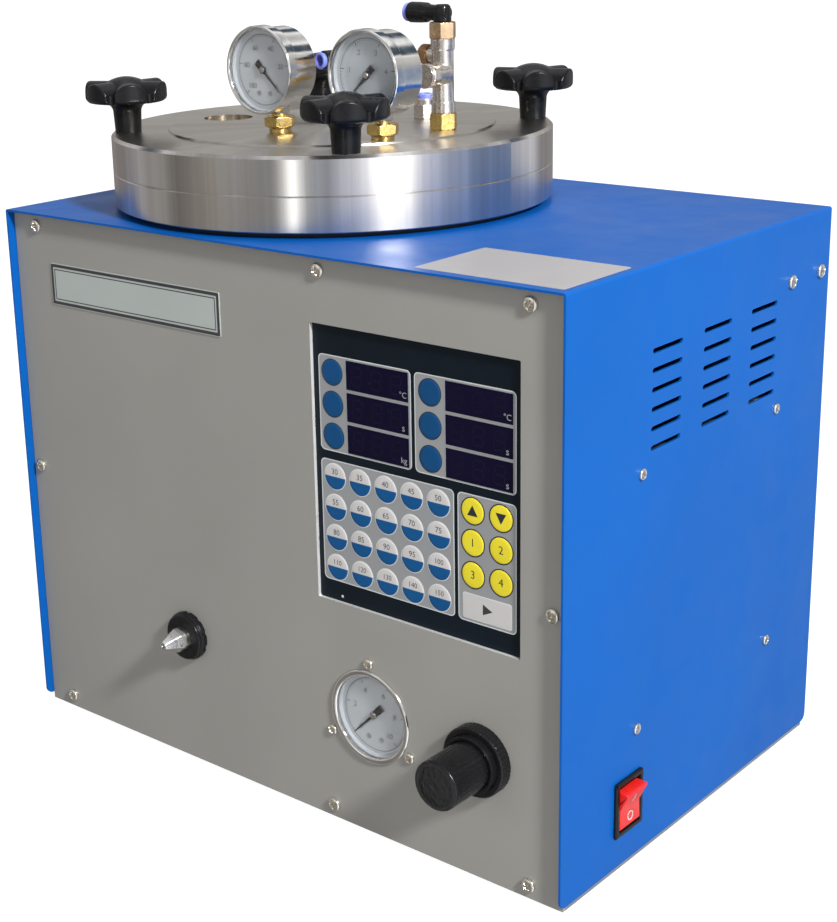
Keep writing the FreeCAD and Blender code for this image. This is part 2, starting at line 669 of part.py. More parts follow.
def gauge_case(at, case_r, bezel_r, depth, flush):
    """Drawn case with a rolled bezel; the gauge faces the front and its rim is at the point."""
    bore = gauge_bore(case_r, bezel_r, flush)
    lip = bore - GAUGE_SEAT
    dial_z = -DIAL_DEPTH - DIAL_THICK
    rim = 1.5 if flush else DIAL_DEPTH + DIAL_THICK + GAUGE_WALL
    crest = (bezel_r + lip) / 2
    back_r = case_r * 0.72
    inner = case_r - GAUGE_WALL - GAUGE_CORNER
    step = -depth + GAUGE_BACK_STEP
    floor = step + GAUGE_CORNER + GAUGE_WALL
    profile = [(0, -depth), (back_r, -depth), (back_r, step), (case_r - GAUGE_CORNER, step),
               (case_r, step + GAUGE_CORNER), (case_r, -rim), (bezel_r, -rim), (bezel_r, -1.1),
               (crest, 0, bezel_r - 0.35, -0.3), (lip, -0.9, lip + 0.5, -0.25), (lip, -GAUGE_LIP),
               (bore, -GAUGE_LIP), (bore, dial_z), (inner, dial_z), (inner, floor), (3.2, floor),
               (3.2, dial_z), (0, dial_z)]
    case = turned(profile, at, OUT)
    return case.cut(rod(at - OUT * (depth - 6), OUT, NEEDLE_SHAFT_R + RUNNING_GAP, depth))


def gauge_glass(at, case_r, bezel_r, flush):
    radius = gauge_bore(case_r, bezel_r, flush) - GLASS_GAP
    return rod(at - OUT * (GAUGE_LIP + GLASS_THICK), OUT, radius, GLASS_THICK)


def gauge_dial(at, case_r, bezel_r, flush):
    """Dial plate with a stepped rim that carries the glass."""
    radius = gauge_bore(case_r, bezel_r, flush) - GLASS_GAP
    low = -DIAL_DEPTH - DIAL_THICK
    hole = NEEDLE_SHAFT_R + 0.5
    glass = -GAUGE_LIP - GLASS_THICK
    profile = [(hole, low), (radius, low), (radius, glass), (radius - 1.0, glass),
               (radius - 1.0, -DIAL_DEPTH),
               (hole, -DIAL_DEPTH)]
    return turned(profile, at, OUT)


def gauge_needle(at, case_r, depth, angle, tail):
    """Pointer, hub and shaft in one; the angle is seen from the front, from +X towards +Z."""
    length = case_r * 0.74
    z0 = -DIAL_DEPTH + 0.5
    reach = vec(math.cos(math.radians(angle)), 0, math.sin(math.radians(angle)))
    across = vec(-reach.z, 0, reach.x)
    hub = rod(at + OUT * z0, OUT, 2.1, 1.4)
    shaft = rod(at + OUT * (-depth + 9), OUT, NEEDLE_SHAFT_R, depth - 9 + z0 + 0.2)
    base = at + OUT * (z0 + 0.3)
    tip = base + reach * length
    points = [base + across * 0.9, tip + across * 0.22, tip - across * 0.22, base - across * 0.9]
    back = [base + across * 0.8, base - across * 0.8, base - reach * tail * 0.45 - across * 2.0,
            base - reach * tail - across * 2.0, base - reach * tail + across * 2.0, base
            - reach * tail * 0.45 + across * 2.0]
    blades = [prism(points, OUT * NEEDLE_THICK), prism(back, OUT * NEEDLE_THICK)]
    return hub.fuse([shaft] + blades).removeSplitter()


def panel_gauge_at():
    return vec(PANEL_GAUGE_X, PANEL_Y - PANEL_GAUGE_PROUD, PANEL_GAUGE_Z)


def panel_gauge_case():
    """Case with the clamp ring behind the panel that takes the three screws."""
    case = gauge_case(panel_gauge_at(), PANEL_GAUGE_R, PANEL_BEZEL_R, PANEL_GAUGE_DEPTH, True)
    at = vec(PANEL_GAUGE_X, PANEL_BACK_Y, PANEL_GAUGE_Z)
    ring = rod(at, Y_AXIS, GAUGE_SCREW_CIRCLE_R + CLAMP_RING_MARGIN, CLAMP_RING_THICK)
    ring = ring.cut(rod(at, Y_AXIS, PANEL_GAUGE_R - GAUGE_WALL / 2, CLAMP_RING_THICK))
    ring = ring.cut([rod(vec(x, PANEL_BACK_Y - 1, z), Y_AXIS, M3_SHANK_R + SCREW_HOLE_GAP, 5)
                     for x, z in gauge_screw_points()])
    return case.fuse(ring).removeSplitter()


def lid_gauge_at(place):
    return vec(TANK_X + place[0], TANK_Y + place[1] - LID_GAUGE_FORWARD, DISC_Z + LID_GAUGE_RISE)


def lid_gauge_case(place):
    """Gauge case with a square stem below that screws onto its fitting."""
    at = lid_gauge_at(place)
    case = gauge_case(at, LID_GAUGE_R, LID_BEZEL_R, LID_GAUGE_DEPTH, False)
    foot = vec(at.x, at.y + LID_GAUGE_FORWARD, DISC_Z + HEX_HEIGHT + 1.5)
    half = LID_GAUGE_STEM / 2
    stem = box(foot.x - half, foot.x + half, foot.y - half, foot.y + half, foot.z, at.z - LID_GAUGE_R + 2.2)
    return case.fuse(stem).removeSplitter()


def shank(place):
    """Thread core of a fitting in the lid."""
    x, y = TANK_X + place[0], TANK_Y + place[1]
    return rod(vec(x, y, DISC_Z - SHANK_LENGTH), Z_AXIS, SHANK_R, SHANK_LENGTH)


def brass_adaptors():
    """Brass hexagon adaptors in the lid: two under the gauges and one under the cross."""
    solids = []
    for place in (VACUUM_GAUGE_AT, PRESSURE_GAUGE_AT):
        at = vec(TANK_X + place[0], TANK_Y + place[1], DISC_Z)
        body = turned([(0, 0), (6.2, 0), (6.2, 2.2), (7.6, 3.4), (7.6, 4), (0, 4)], at)
        nut = hexagon(HEX_FLATS + 1.5, HEX_HEIGHT - 3.4, at + Z_AXIS * 3.4)
        neck = rod(at + Z_AXIS * (HEX_HEIGHT - 0.2), Z_AXIS, 4.6, 1.7)
        solids.append(body.fuse([nut, neck, shank(place)]).removeSplitter())
    at = vec(TANK_X + TEE_AT[0], TANK_Y + TEE_AT[1], DISC_Z)
    nut = hexagon(HEX_FLATS, HEX_HEIGHT, at)
    solids.append(nut.fuse([shank(TEE_AT), rod(at, Z_AXIS, TEE_SPIGOT_R, HEX_HEIGHT + 3)]).removeSplitter())
    return Part.makeCompound(solids)


def regulator_at(out=0.0):
    return vec(REGULATOR_X, PANEL_Y - out, REGULATOR_Z)


def regulator_body():
    """Valve block behind the panel with the bonnet that stands through it."""
    half = REGULATOR_BLOCK / 2
    y0 = PANEL_BACK_Y + REGULATOR_SPACE
    block = box(REGULATOR_X - half, REGULATOR_X + half, y0, y0 + REGULATOR_DEPTH, REGULATOR_Z - half,
                REGULATOR_Z + half)
    block = block.makeFillet(3.0, [e for e in block.Edges if abs(e.tangentAt(e.FirstParameter).y) > 0.9])
    bonnet = rod(regulator_at(BONNET_REACH), Y_AXIS, BONNET_R, BONNET_REACH + PANEL_THICK + REGULATOR_SPACE)
    body = block.fuse(bonnet).removeSplitter()
    bore = rod(regulator_at(BONNET_REACH), Y_AXIS, KNOB_R + REGULATOR_KNOB_GAP, BONNET_REACH - KNOB_START
               + 1.0)
    stem_hole = rod(regulator_at(BONNET_REACH), Y_AXIS, STEM_R + RUNNING_GAP, BONNET_REACH + 14)
    ports = [rod(vec(REGULATOR_X + s * (half + 1), y0 + REGULATOR_DEPTH * 0.6, REGULATOR_Z), vec(-s, 0, 0),
                 REGULATOR_PORT_R, REGULATOR_PORT_DEPTH + 1)
             for s in (-1, 1)]
    return body.cut([bore, stem_hole] + ports)


def grooves(radius, depth, count, start, length, at):
    """Cutters for straight V grooves round a rod that points out of the panel."""
    out = []
    half = math.pi * radius / count * 0.62
    for k in range(count):
        wedge = prism([vec(radius - depth, 0, start), vec(radius + 1, -half - 0.4, start),
                       vec(radius + 1, half + 0.4, start)],
                      vec(0, 0, length))
        wedge.rotate(vec(0, 0, 0), Z_AXIS, 360.0 * k / count)
        out.append(facing_out(wedge, at))
    return out


def facing_out(shape, at):
    """Point a shape out of the panel and keep the rotation that it already has."""
    face_out = FreeCAD.Placement(at, FreeCAD.Rotation(Z_AXIS, OUT))
    out = shape.copy()
    out.Placement = face_out.multiply(shape.Placement)
    return out


def regulator_nut():
    """Knurled ring nut that clamps the regulator to the panel."""
    edge = 0.8
    profile = [(BONNET_R + GLASS_GAP, 0), (NUT_R, 0), (NUT_R, NUT_THICK - edge), (NUT_R - edge, NUT_THICK),
               (BONNET_R + GLASS_GAP, NUT_THICK)]
    nut = turned(profile, regulator_at(), OUT)
    return nut.cut(grooves(NUT_R, 0.35, NUT_RIBS, -1, NUT_THICK + 2, regulator_at()))


def regulator_stem():
    """Adjusting screw with a flat, which turns with the knob."""
    start = -PANEL_THICK - 8
    stem = rod(regulator_at(start), OUT, STEM_R, KNOB_START + STEM_LENGTH - start)
    flat = box(REGULATOR_X - 5, REGULATOR_X + 5, PANEL_Y - KNOB_REACH, PANEL_Y - KNOB_START + 0.5, REGULATOR_Z
               + STEM_R * 0.75,
               REGULATOR_Z + 6)
    return stem.cut(flat)


def regulator_knob():
    """Ribbed knob that slides on the stem's flat; its end face is slightly dished."""
    edge = 1.8
    length = KNOB_REACH
    profile = [(0, KNOB_START), (KNOB_R, KNOB_START), (KNOB_R, length - edge),
               (KNOB_R - edge, length, KNOB_R - edge * 0.3, length - edge * 0.3), (KNOB_R - edge - 0.8,
                                                                                   length),
               (KNOB_R - edge - 1.2, length - 0.5), (0, length - 0.5)]
    knob = turned(profile, regulator_at(), OUT)
    hole = rod(regulator_at(KNOB_START - 1), OUT, STEM_R + RUNNING_GAP, STEM_LENGTH + 4)
    key = box(REGULATOR_X - 5, REGULATOR_X + 5, PANEL_Y - KNOB_REACH * 2, PANEL_Y, REGULATOR_Z + STEM_R * 0.75
              + RUNNING_GAP,
              REGULATOR_Z + 6)
    knob = knob.cut(hole.cut(key))
    return knob.cut(grooves(KNOB_R, 0.3, KNOB_RIBS, BONNET_REACH + 1.5, length - BONNET_REACH - 5.5,
                            regulator_at()))


def nozzle_at(out=0.0):
    return vec(NOZZLE_X, PANEL_Y - out, NOZZLE_Z)


def nozzle_disc():
    """Black retaining nut round the nozzle, stepped, with finger notches in its rim."""
    t = NOZZLE_DISC_THICK
    bore = NOZZLE_R + RUNNING_GAP
    profile = [(bore, VALVE_COUNTERBORE), (VALVE_R + 0.15, VALVE_COUNTERBORE), (VALVE_R + 0.15, 0),
               (NOZZLE_DISC_R, 0), (NOZZLE_DISC_R, t * 0.5), (NOZZLE_DISC_R - 0.9, t * 0.5 + 0.5),
               (NOZZLE_DISC_R - 0.9, t - 0.7), (NOZZLE_DISC_R - 1.6, t), (bore, t)]
    disc = turned(profile, nozzle_at(), OUT)
    notches = []
    for k in range(NOZZLE_DISC_NOTCHES):
        turn = math.radians(360.0 * (k + 0.5) / NOZZLE_DISC_NOTCHES)
        place = nozzle_at(-1) + vec(math.cos(turn), 0, math.sin(turn)) * (NOZZLE_DISC_R + 1.5)
        notches.append(rod(place, OUT, 2.2, t * 0.5 + 1))
    return disc.cut(notches)


def valve_body():
    """Brass valve barrel from the tank's boss to the retaining nut."""
    barrel = rod(nozzle_at(VALVE_COUNTERBORE), Y_AXIS, VALVE_R, VALVE_LENGTH)
    deep = VALVE_COUNTERBORE + 1 + NOZZLE_TRAVEL + SPRING_SPACE
    bore = rod(nozzle_at(VALVE_COUNTERBORE + 1), Y_AXIS, NOZZLE_COLLAR_R + RUNNING_GAP, deep)
    return barrel.cut([bore, rod(nozzle_at(VALVE_COUNTERBORE + 1), Y_AXIS, CHANNEL_R, VALVE_LENGTH + 2)])


def nozzle_tip():
    """Nozzle: a turned spigot with a collar inside, and six flats that taper to its mouth."""
    face = VALVE_COUNTERBORE - NOZZLE_COLLAR_PLAY
    back = face - NOZZLE_COLLAR_THICK
    profile = [(0, back), (NOZZLE_COLLAR_R, back), (NOZZLE_COLLAR_R, face), (NOZZLE_R, face),
               (NOZZLE_R, NOZZLE_FLATS_START + 4),
               (NOZZLE_TIP_FLATS / 2 + 0.5, NOZZLE_REACH), (0, NOZZLE_REACH)]
    body = turned(profile, nozzle_at(), OUT)
    slope = (NOZZLE_R - NOZZLE_TIP_FLATS / 2) / (NOZZLE_REACH - NOZZLE_FLATS_START)
    cuts = []
    for k in range(6):
        start, end = NOZZLE_FLATS_START - 2, NOZZLE_REACH + 2
        inner0 = NOZZLE_R + 2 * slope
        inner1 = NOZZLE_TIP_FLATS / 2 - 2 * slope
        far = inner0 + NOZZLE_R
        wedge = prism([vec(inner0, -far, start), vec(inner1, -far, end), vec(far, -far, end),
                       vec(far, -far, start)], vec(0, 2 * far, 0))
        wedge.rotate(vec(0, 0, 0), Z_AXIS, 60.0 * k + NOZZLE_TURN)
        cuts.append(facing_out(wedge, nozzle_at()))
    cuts.append(rod(nozzle_at(back - 1), OUT, NOZZLE_BORE_R, NOZZLE_REACH + 3))
    return body.cut(cuts)


def rocker_frame():
    """Switch housing with its bezel on the right wall."""
    y0, y1 = ROCKER_Y - ROCKER_BEZEL_Y / 2, ROCKER_Y + ROCKER_BEZEL_Y / 2
    z0, z1 = ROCKER_Z - ROCKER_BEZEL_Z / 2, ROCKER_Z + ROCKER_BEZEL_Z / 2
    bezel = box(SIDE_X, SIDE_X + ROCKER_BEZEL_THICK, y0, y1, z0, z1)
    rim = [e for e in bezel.Edges if abs(e.tangentAt(e.FirstParameter).x) > 0.9]
    bezel = bezel.makeFillet(1.5, rim)
    face = [e for e in bezel.Edges if e.CenterOfMass.x > SIDE_X + ROCKER_BEZEL_THICK - 0.01]
    bezel = bezel.makeChamfer(0.6, face)
    body = box(SIDE_X - ROCKER_BODY_DEPTH, SIDE_X, ROCKER_Y - ROCKER_BODY_Y / 2, ROCKER_Y + ROCKER_BODY_Y / 2,
               ROCKER_Z - ROCKER_BODY_Z / 2, ROCKER_Z + ROCKER_BODY_Z / 2)
    frame = bezel.fuse(body).removeSplitter()
    frame = frame.cut(box(SIDE_X - ROCKER_BODY_DEPTH + 2, SIDE_X + 5, ROCKER_Y - ROCKER_OPEN_Y / 2,
                          ROCKER_Y + ROCKER_OPEN_Y / 2, ROCKER_Z - ROCKER_OPEN_Z / 2, ROCKER_Z
                          + ROCKER_OPEN_Z / 2))
    return frame.cut(rod(vec(rocker_pivot_x(), ROCKER_Y - ROCKER_OPEN_Y / 2 - 0.9, ROCKER_Z), Y_AXIS,
                         ROCKER_PIN_R + RUNNING_GAP, ROCKER_OPEN_Y + 1.8))


def rocker_pivot_x():
    return SIDE_X + ROCKER_BEZEL_THICK - ROCKER_PIVOT_DEPTH


def rocker_paddle():
    """Dished paddle on a cross pin; it rests with its lower end pressed in, which is off."""
    half = ROCKER_OPEN_Z / 2 - ROCKER_END_GAP
    rise = ROCKER_PIVOT_DEPTH + ROCKER_END_RISE
    y0 = ROCKER_Y - ROCKER_OPEN_Y / 2 + ROCKER_GAP
    points = [vec(-1.2, y0, -half + 1.0), vec(rise - 0.8, y0, -half), vec(rise, y0, -half + ROCKER_EDGE),
              vec(rise - ROCKER_DISH, y0, 0), vec(rise, y0, half - ROCKER_EDGE),
              vec(rise - 0.8, y0, half), vec(-1.2, y0, half - 1.0), vec(-ROCKER_HUB_R, y0, 2.5),
              vec(-ROCKER_HUB_R, y0, -2.5)]
    paddle = prism(points, vec(0, ROCKER_OPEN_Y - 2 * ROCKER_GAP, 0))
    pin = rod(vec(0, ROCKER_Y - ROCKER_OPEN_Y / 2 - 0.8, 0), Y_AXIS, ROCKER_PIN_R, ROCKER_OPEN_Y + 1.6)
    paddle = paddle.fuse(pin).removeSplitter()
    paddle.rotate(vec(0, 0, 0), Y_AXIS, ROCKER_TILT)
    paddle.translate(vec(rocker_pivot_x(), 0, ROCKER_Z))
    return paddle


def tank():
    """Cast pot with a thick bolting flange, a sloped floor and a boss for the nozzle valve."""
    at = vec(TANK_X, TANK_Y, 0)
    c = SEAM_CHAMFER
    profile = [(0, TANK_BOTTOM_Z), (TANK_R - 5, TANK_BOTTOM_Z), (TANK_R, TANK_BOTTOM_Z + 5),
               (TANK_R, FLANGE_Z),
               (FLANGE_R - 0.6, FLANGE_Z), (FLANGE_R, FLANGE_Z + 0.6), (FLANGE_R, SEAM_Z - c), (FLANGE_R
                                                                                                - c, SEAM_Z),
               (SEAL_R1, SEAM_Z), (SEAL_R1, SEAM_Z - SEAL_DEPTH), (SEAL_R0, SEAM_Z - SEAL_DEPTH), (SEAL_R0,
                                                                                                   SEAM_Z),
               (WELL_R, SEAM_Z), (WELL_R, WELL_FLOOR_Z + FLOOR_SLOPE + 6),
               (WELL_R - 6, WELL_FLOOR_Z + FLOOR_SLOPE, WELL_R - 1.8, WELL_FLOOR_Z + FLOOR_SLOPE + 1.8),
               (0, WELL_FLOOR_Z)]
    pot = turned(profile, at)
    boss = rod(vec(NOZZLE_X, BOSS_FACE_Y, NOZZLE_Z), Y_AXIS, BOSS_R, TANK_Y - BOSS_FACE_Y - WELL_R - 1)
    pot = pot.fuse(boss).removeSplitter()
    drain = TANK_Y - WELL_R / 2 - BOSS_FACE_Y
    cuts = [rod(vec(NOZZLE_X, BOSS_FACE_Y - 1, NOZZLE_Z), Y_AXIS, CHANNEL_R, drain)]
    cuts += [rod(vec(x, y, SEAM_Z - STUD_IN_FLANGE - 1), Z_AXIS, STUD_R + RUNNING_GAP, STUD_IN_FLANGE + 2)
             for x, y in knob_points()]
    return pot.cut(cuts)


def tank_seat():
    """Heat-proof ring between the cabinet's top and the tank's flange."""
    at = vec(TANK_X, TANK_Y, CABINET_HEIGHT)
    inner = TANK_R + TANK_HOLE_GAP
    return turned([(inner, 0), (SEAT_R, 0), (SEAT_R, SEAT_HEIGHT), (inner, SEAT_HEIGHT)], at)


def heater_band():
    """Clamped heater round the pot, with its clamp lugs at the back."""
    at = vec(TANK_X, TANK_Y, HEATER_Z0)
    r0 = TANK_R + 0.1
    band = turned([(r0, 0), (r0 + HEATER_THICK, 0), (r0 + HEATER_THICK, HEATER_HEIGHT),
                   (r0, HEATER_HEIGHT)], at)
    y = TANK_Y + r0 + 1
    lugs = [box(TANK_X + s * 6 - 1.5, TANK_X + s * 6 + 1.5, y, y + 12, HEATER_Z0 + 5, HEATER_Z0
                + HEATER_HEIGHT - 5)
            for s in (-1, 1)]
    bolt = [rod(vec(TANK_X - 11, y + 8, HEATER_Z0 + k * HEATER_HEIGHT), X_AXIS, 2, 22) for k in (0.25, 0.75)]
    return band.fuse(lugs + bolt).removeSplitter()


def lid_seal():
    at = vec(TANK_X, TANK_Y, SEAM_Z - SEAL_DEPTH)
    return turned([(SEAL_R0 + 0.1, 0), (SEAL_R1 - 0.1, 0), (SEAL_R1 - 0.1, SEAL_DEPTH),
                   (SEAL_R0 + 0.1, SEAL_DEPTH)], at)


def fitting_places():
    return (VACUUM_GAUGE_AT, PRESSURE_GAUGE_AT, TEE_AT, ELBOW_PORT_AT, STRAIGHT_PORT_AT)


def lid():
    """Thick turned lid: chamfered rim, raised middle, spigot below, holes for studs and fittings."""
    at = vec(TANK_X, TANK_Y, SEAM_Z)
    spigot = WELL_R - SPIGOT_GAP
    top = LID_HEIGHT
    profile = [(0, -SPIGOT_HEIGHT), (spigot - 1, -SPIGOT_HEIGHT), (spigot, -SPIGOT_HEIGHT + 1), (spigot, 0),
               (FLANGE_R - SEAM_CHAMFER, 0), (FLANGE_R, SEAM_CHAMFER), (FLANGE_R, top - LID_CHAMFER),
               (FLANGE_R - LID_CHAMFER, top), (LID_DISC_R, top), (LID_DISC_R - 0.6, top + LID_DISC_RISE),
               (0, top + LID_DISC_RISE)]
    plate = turned(profile, at)
    cuts = [rod(vec(x, y, SEAM_Z - 1), Z_AXIS, STUD_R + STUD_HOLE_GAP, LID_HEIGHT + 2) for x,
            y in knob_points()]
    for place in fitting_places():
        x, y = TANK_X + place[0], TANK_Y + place[1]
        cuts.append(rod(vec(x, y, DISC_Z - SHANK_LENGTH), Z_AXIS, SHANK_R + SHANK_GAP, SHANK_LENGTH + 1))
        cuts.append(rod(vec(x, y, SEAM_Z - SPIGOT_HEIGHT - 1), Z_AXIS, CHANNEL_R, LID_HEIGHT))
    pocket = fill_plug_at()
    cuts.append(rod(pocket, Z_AXIS, FILL_POCKET_R, FILL_POCKET_DEPTH + 1))
    core = pocket - Z_AXIS * FILL_CORE_LENGTH
    cuts.append(rod(core, Z_AXIS, FILL_CORE_R + SHANK_GAP, FILL_CORE_LENGTH + 1))
    cuts.append(rod(pocket - Z_AXIS * LID_HEIGHT * 2, Z_AXIS, FILL_HOLE_R, LID_HEIGHT * 2))
    return plate.cut(cuts)


def fill_plug_at():
    """Floor of the lid's pocket over the filling hole."""
    return vec(TANK_X + FILL_PLUG_AT[0], TANK_Y + FILL_PLUG_AT[1], DISC_Z - FILL_POCKET_DEPTH)


def fill_plug():
    """Screw plug of the filling hole, sunk in its pocket, with a hexagon key socket."""
    at = fill_plug_at()
    head_r = FILL_POCKET_R - FILL_HEAD_GAP
    top = FILL_HEAD_HEIGHT
    plug = turned([(0, -FILL_CORE_LENGTH), (FILL_CORE_R, -FILL_CORE_LENGTH), (FILL_CORE_R, 0), (head_r, 0),
                   (head_r, top - 0.5), (head_r - 0.5, top), (0, top)], at)
    return plug.cut(hexagon(FILL_KEY_FLATS, top + 4, at - Z_AXIS * 3, edge=0.1))


def knob_points():
    turn = [math.radians(KNOB_PHASE + 90 * k) for k in range(4)]
    return [(TANK_X + KNOB_CIRCLE_R * math.cos(a), TANK_Y + KNOB_CIRCLE_R * math.sin(a)) for a in turn]


def stud(number):
    x, y = knob_points()[number]
    low = SEAM_Z - STUD_IN_FLANGE
    tip = 1.0
    length = LID_Z + STUD_IN_GRIP - low
    return turned([(0, 0), (STUD_R - tip, 0), (STUD_R, tip), (STUD_R, length), (0, length)], vec(x, y, low))


def grip_finger():
    """One finger of the grip along +X: straight sides, an arched top and a rounded end."""
    w = LOBE_HALF_WIDTH
    shoulder = GRIP_TOP - LOBE_ARCH
    low_right, high_right = vec(0, w, GRIP_BOTTOM), vec(0, w, shoulder)
    low_left, high_left = vec(0, -w, GRIP_BOTTOM), vec(0, -w, shoulder)
    section = [Part.makeLine(high_left, low_left), Part.makeLine(low_left, low_right),
               Part.makeLine(low_right, high_right), Part.Arc(high_right, vec(0, 0, GRIP_TOP),
                                                              high_left).toShape()]
    bar = Part.Face(Part.Wire(section)).extrude(vec(GRIP_R + 1, 0, 0))
    r = GRIP_LOW_ROUND
    turn = math.sqrt(0.5)
    blank = turned([(0, GRIP_BOTTOM), (GRIP_R - r, GRIP_BOTTOM),
                    (GRIP_R, GRIP_BOTTOM + r, GRIP_R - r + r * turn, GRIP_BOTTOM + r - r * turn),
                    (GRIP_R, GRIP_TOP + 1), (0, GRIP_TOP + 1)], vec(0, 0, 0))
    finger = bar.common(blank)
    tip = [e for e in finger.Edges if all(math.hypot(v.X, v.Y) > GRIP_R - 0.01 for v in e.Vertexes)
           and e.BoundBox.ZMax > GRIP_BOTTOM + r + 0.1]
    return finger.makeFillet(TIP_FILLET, tip)


def grip_valley():
    """Concave fill between two fingers, tangent to their sides, for the first gap."""
    half = math.pi / GRIP_LOBES
    apex_r = LOBE_HALF_WIDTH / math.sin(half)
    run = VALLEY_R / math.tan(half)
    apex = vec(apex_r * math.cos(half), apex_r * math.sin(half), GRIP_BOTTOM)
    first = apex + vec(run, 0, 0)
    second = apex + vec(run * math.cos(2 * half), run * math.sin(2 * half), 0)
    bottom_r = apex_r + VALLEY_R / math.sin(half) - VALLEY_R
    middle = vec(bottom_r * math.cos(half), bottom_r * math.sin(half), GRIP_BOTTOM)
    edges = [Part.makeLine(apex, first), Part.Arc(first, middle, second).toShape(),
             Part.makeLine(second, apex)]
    return Part.Face(Part.Wire(edges)).extrude(vec(0, 0, GRIP_TOP - LOBE_ARCH - GRIP_BOTTOM))


def grip_hub():
    """Domed middle of the grip: a ball's cap that rises over the roots of the fingers."""
    foot = GRIP_TOP - LOBE_ARCH
    return turned([(0, GRIP_BOTTOM), (HUB_R, GRIP_BOTTOM), (HUB_R, foot), cap(HUB_R, foot, GRIP_CROWN)],
                  vec(0, 0, 0))


def grip_neck():
    return turned([(0, 0), (NECK_R, 0), (NECK_TOP_R, GRIP_BOTTOM - 5),
                   (FLARE_R, GRIP_BOTTOM - 0.4, NECK_TOP_R + 1.6, GRIP_BOTTOM - 2.0), (FLARE_R, GRIP_BOTTOM
                                                                                       + 1),
                   (0, GRIP_BOTTOM + 1)], vec(0, 0, 0))


def star_grip(number):
    """Moulded star knob: six arched fingers round a domed hub, on a long neck."""
    x, y = knob_points()[number]
    pieces = []
    for k in range(GRIP_LOBES):
        for piece in (grip_finger(), grip_valley()):
            piece.rotate(vec(0, 0, 0), Z_AXIS, 360.0 * k / GRIP_LOBES)
            pieces.append(piece)
    grip = grip_hub().fuse(pieces + [grip_neck()]).removeSplitter()
    grip = grip.cut(rod(vec(0, 0, -1), Z_AXIS, STUD_R + RUNNING_GAP, STUD_IN_GRIP + 1.2))
    grip.rotate(vec(0, 0, 0), Z_AXIS, GRIP_TURNS[number])
    grip.translate(vec(x, y, LID_Z))
    return grip


def tee_body():
    """Plated cross: a collared upright, a branch towards the front, and a plug to the left."""
    at = vec(TANK_X + TEE_AT[0], TANK_Y + TEE_AT[1], DISC_Z)
    z0 = HEX_HEIGHT
    collar = TEE_COLLAR_HEIGHT
    r, rc = TEE_R, TEE_COLLAR_R
    upright = turned([(0, z0), (rc, z0), (rc, z0 + collar), (r, z0 + collar + 1), (r, TEE_TOP - collar - 1),
                      (rc, TEE_TOP - collar), (rc, TEE_TOP), (0, TEE_TOP)], at)
    side = at + Z_AXIS * TEE_BRANCH_Z
    branch = turned([(0, 0), (r + 1.6, 0), (r, 8), (r, TEE_BRANCH_REACH - 6), (rc, TEE_BRANCH_REACH - 5),
                     (rc, TEE_BRANCH_REACH - 2.6), (r, TEE_BRANCH_REACH - 2), (rc, TEE_BRANCH_REACH - 1.4),
                     (rc, TEE_BRANCH_REACH), (0, TEE_BRANCH_REACH)], side, OUT)
    boss = rod(at + Z_AXIS * TEE_PLUG_Z, vec(-1, 0, 0), TEE_BOSS_R, TEE_BOSS_REACH)
    nut = hexagon(TEE_HEX_FLATS, TEE_HEX_HEIGHT, at + Z_AXIS * TEE_TOP)
    body = upright.fuse([branch, boss, nut]).removeSplitter()
    tee_bore = rod(at + Z_AXIS * (z0 - 1), Z_AXIS, TEE_SPIGOT_R + SHANK_GAP, 4.2)
    top_bore = rod(at + Z_AXIS * (TEE_TOP + TEE_HEX_HEIGHT - ELBOW_PIVOT_DEPTH - 0.5), Z_AXIS,
                   ELBOW_PIVOT_R + RUNNING_GAP, 8)
    plug_bore = rod(at + vec(-TEE_BOSS_REACH - 0.1, 0, TEE_PLUG_Z), X_AXIS, 3.1, 5.1)
    return body.cut([tee_bore, top_bore, plug_bore])


def tee_plug():
    """Brass hexagon plug in the cross's left boss."""
    at = vec(TANK_X + TEE_AT[0] - TEE_BOSS_REACH, TANK_Y + TEE_AT[1], DISC_Z + TEE_PLUG_Z)
    head = hexagon(10.0, 5.5, at, vec(-1, 0, 0))
    return head.fuse(rod(at, X_AXIS, 3.0, 4.8)).removeSplitter()


def elbow(at, direction):
    """Push-in elbow that turns on its pivot; the arm holds the tube socket."""
    arm_z = ELBOW_RISE
    deep = ELBOW_PIVOT_DEPTH
    hub = turned([(0, -deep), (ELBOW_PIVOT_R, -deep), (ELBOW_PIVOT_R, 0.15), (ELBOW_HUB_R, 0.15),
                  (ELBOW_HUB_R, arm_z), (ELBOW_HUB_R - 0.5, arm_z + 3.6), (3.2, arm_z + 4.6),
                  (0, arm_z + 4.6)], at)
    arm_at = at + Z_AXIS * arm_z
    root = arm_z - ELBOW_ROOT_GAP
    clear = TEE_HEX_FLATS / math.sqrt(3) + 0.5
    arm = turned([(0, -4.2), (3.4, -4.2), (root, -3.0), (root, clear), (ELBOW_R, clear + 2),
                  (ELBOW_TAIL_R, ELBOW_REACH - 7),
                  (ELBOW_TAIL_R, ELBOW_REACH - 0.8), (ELBOW_TAIL_R - 0.6, ELBOW_REACH), (0, ELBOW_REACH)],
                 arm_at, direction)
    body = hub.fuse(arm).removeSplitter()
    mouth = arm_at + direction * ELBOW_REACH
    return body.cut(socket_cutters(mouth, direction))


def socket_cutters(mouth, direction):
    """Stepped bore of a push-in socket: tube stop, collet space and ring bore."""
    inward = direction * -1
    seat = 6.2
    return [rod(mouth + direction, inward, TUBE_R, TUBE_DEPTH + 1),
            rod(mouth + direction, inward, RING_R - 0.4, seat + 1)]


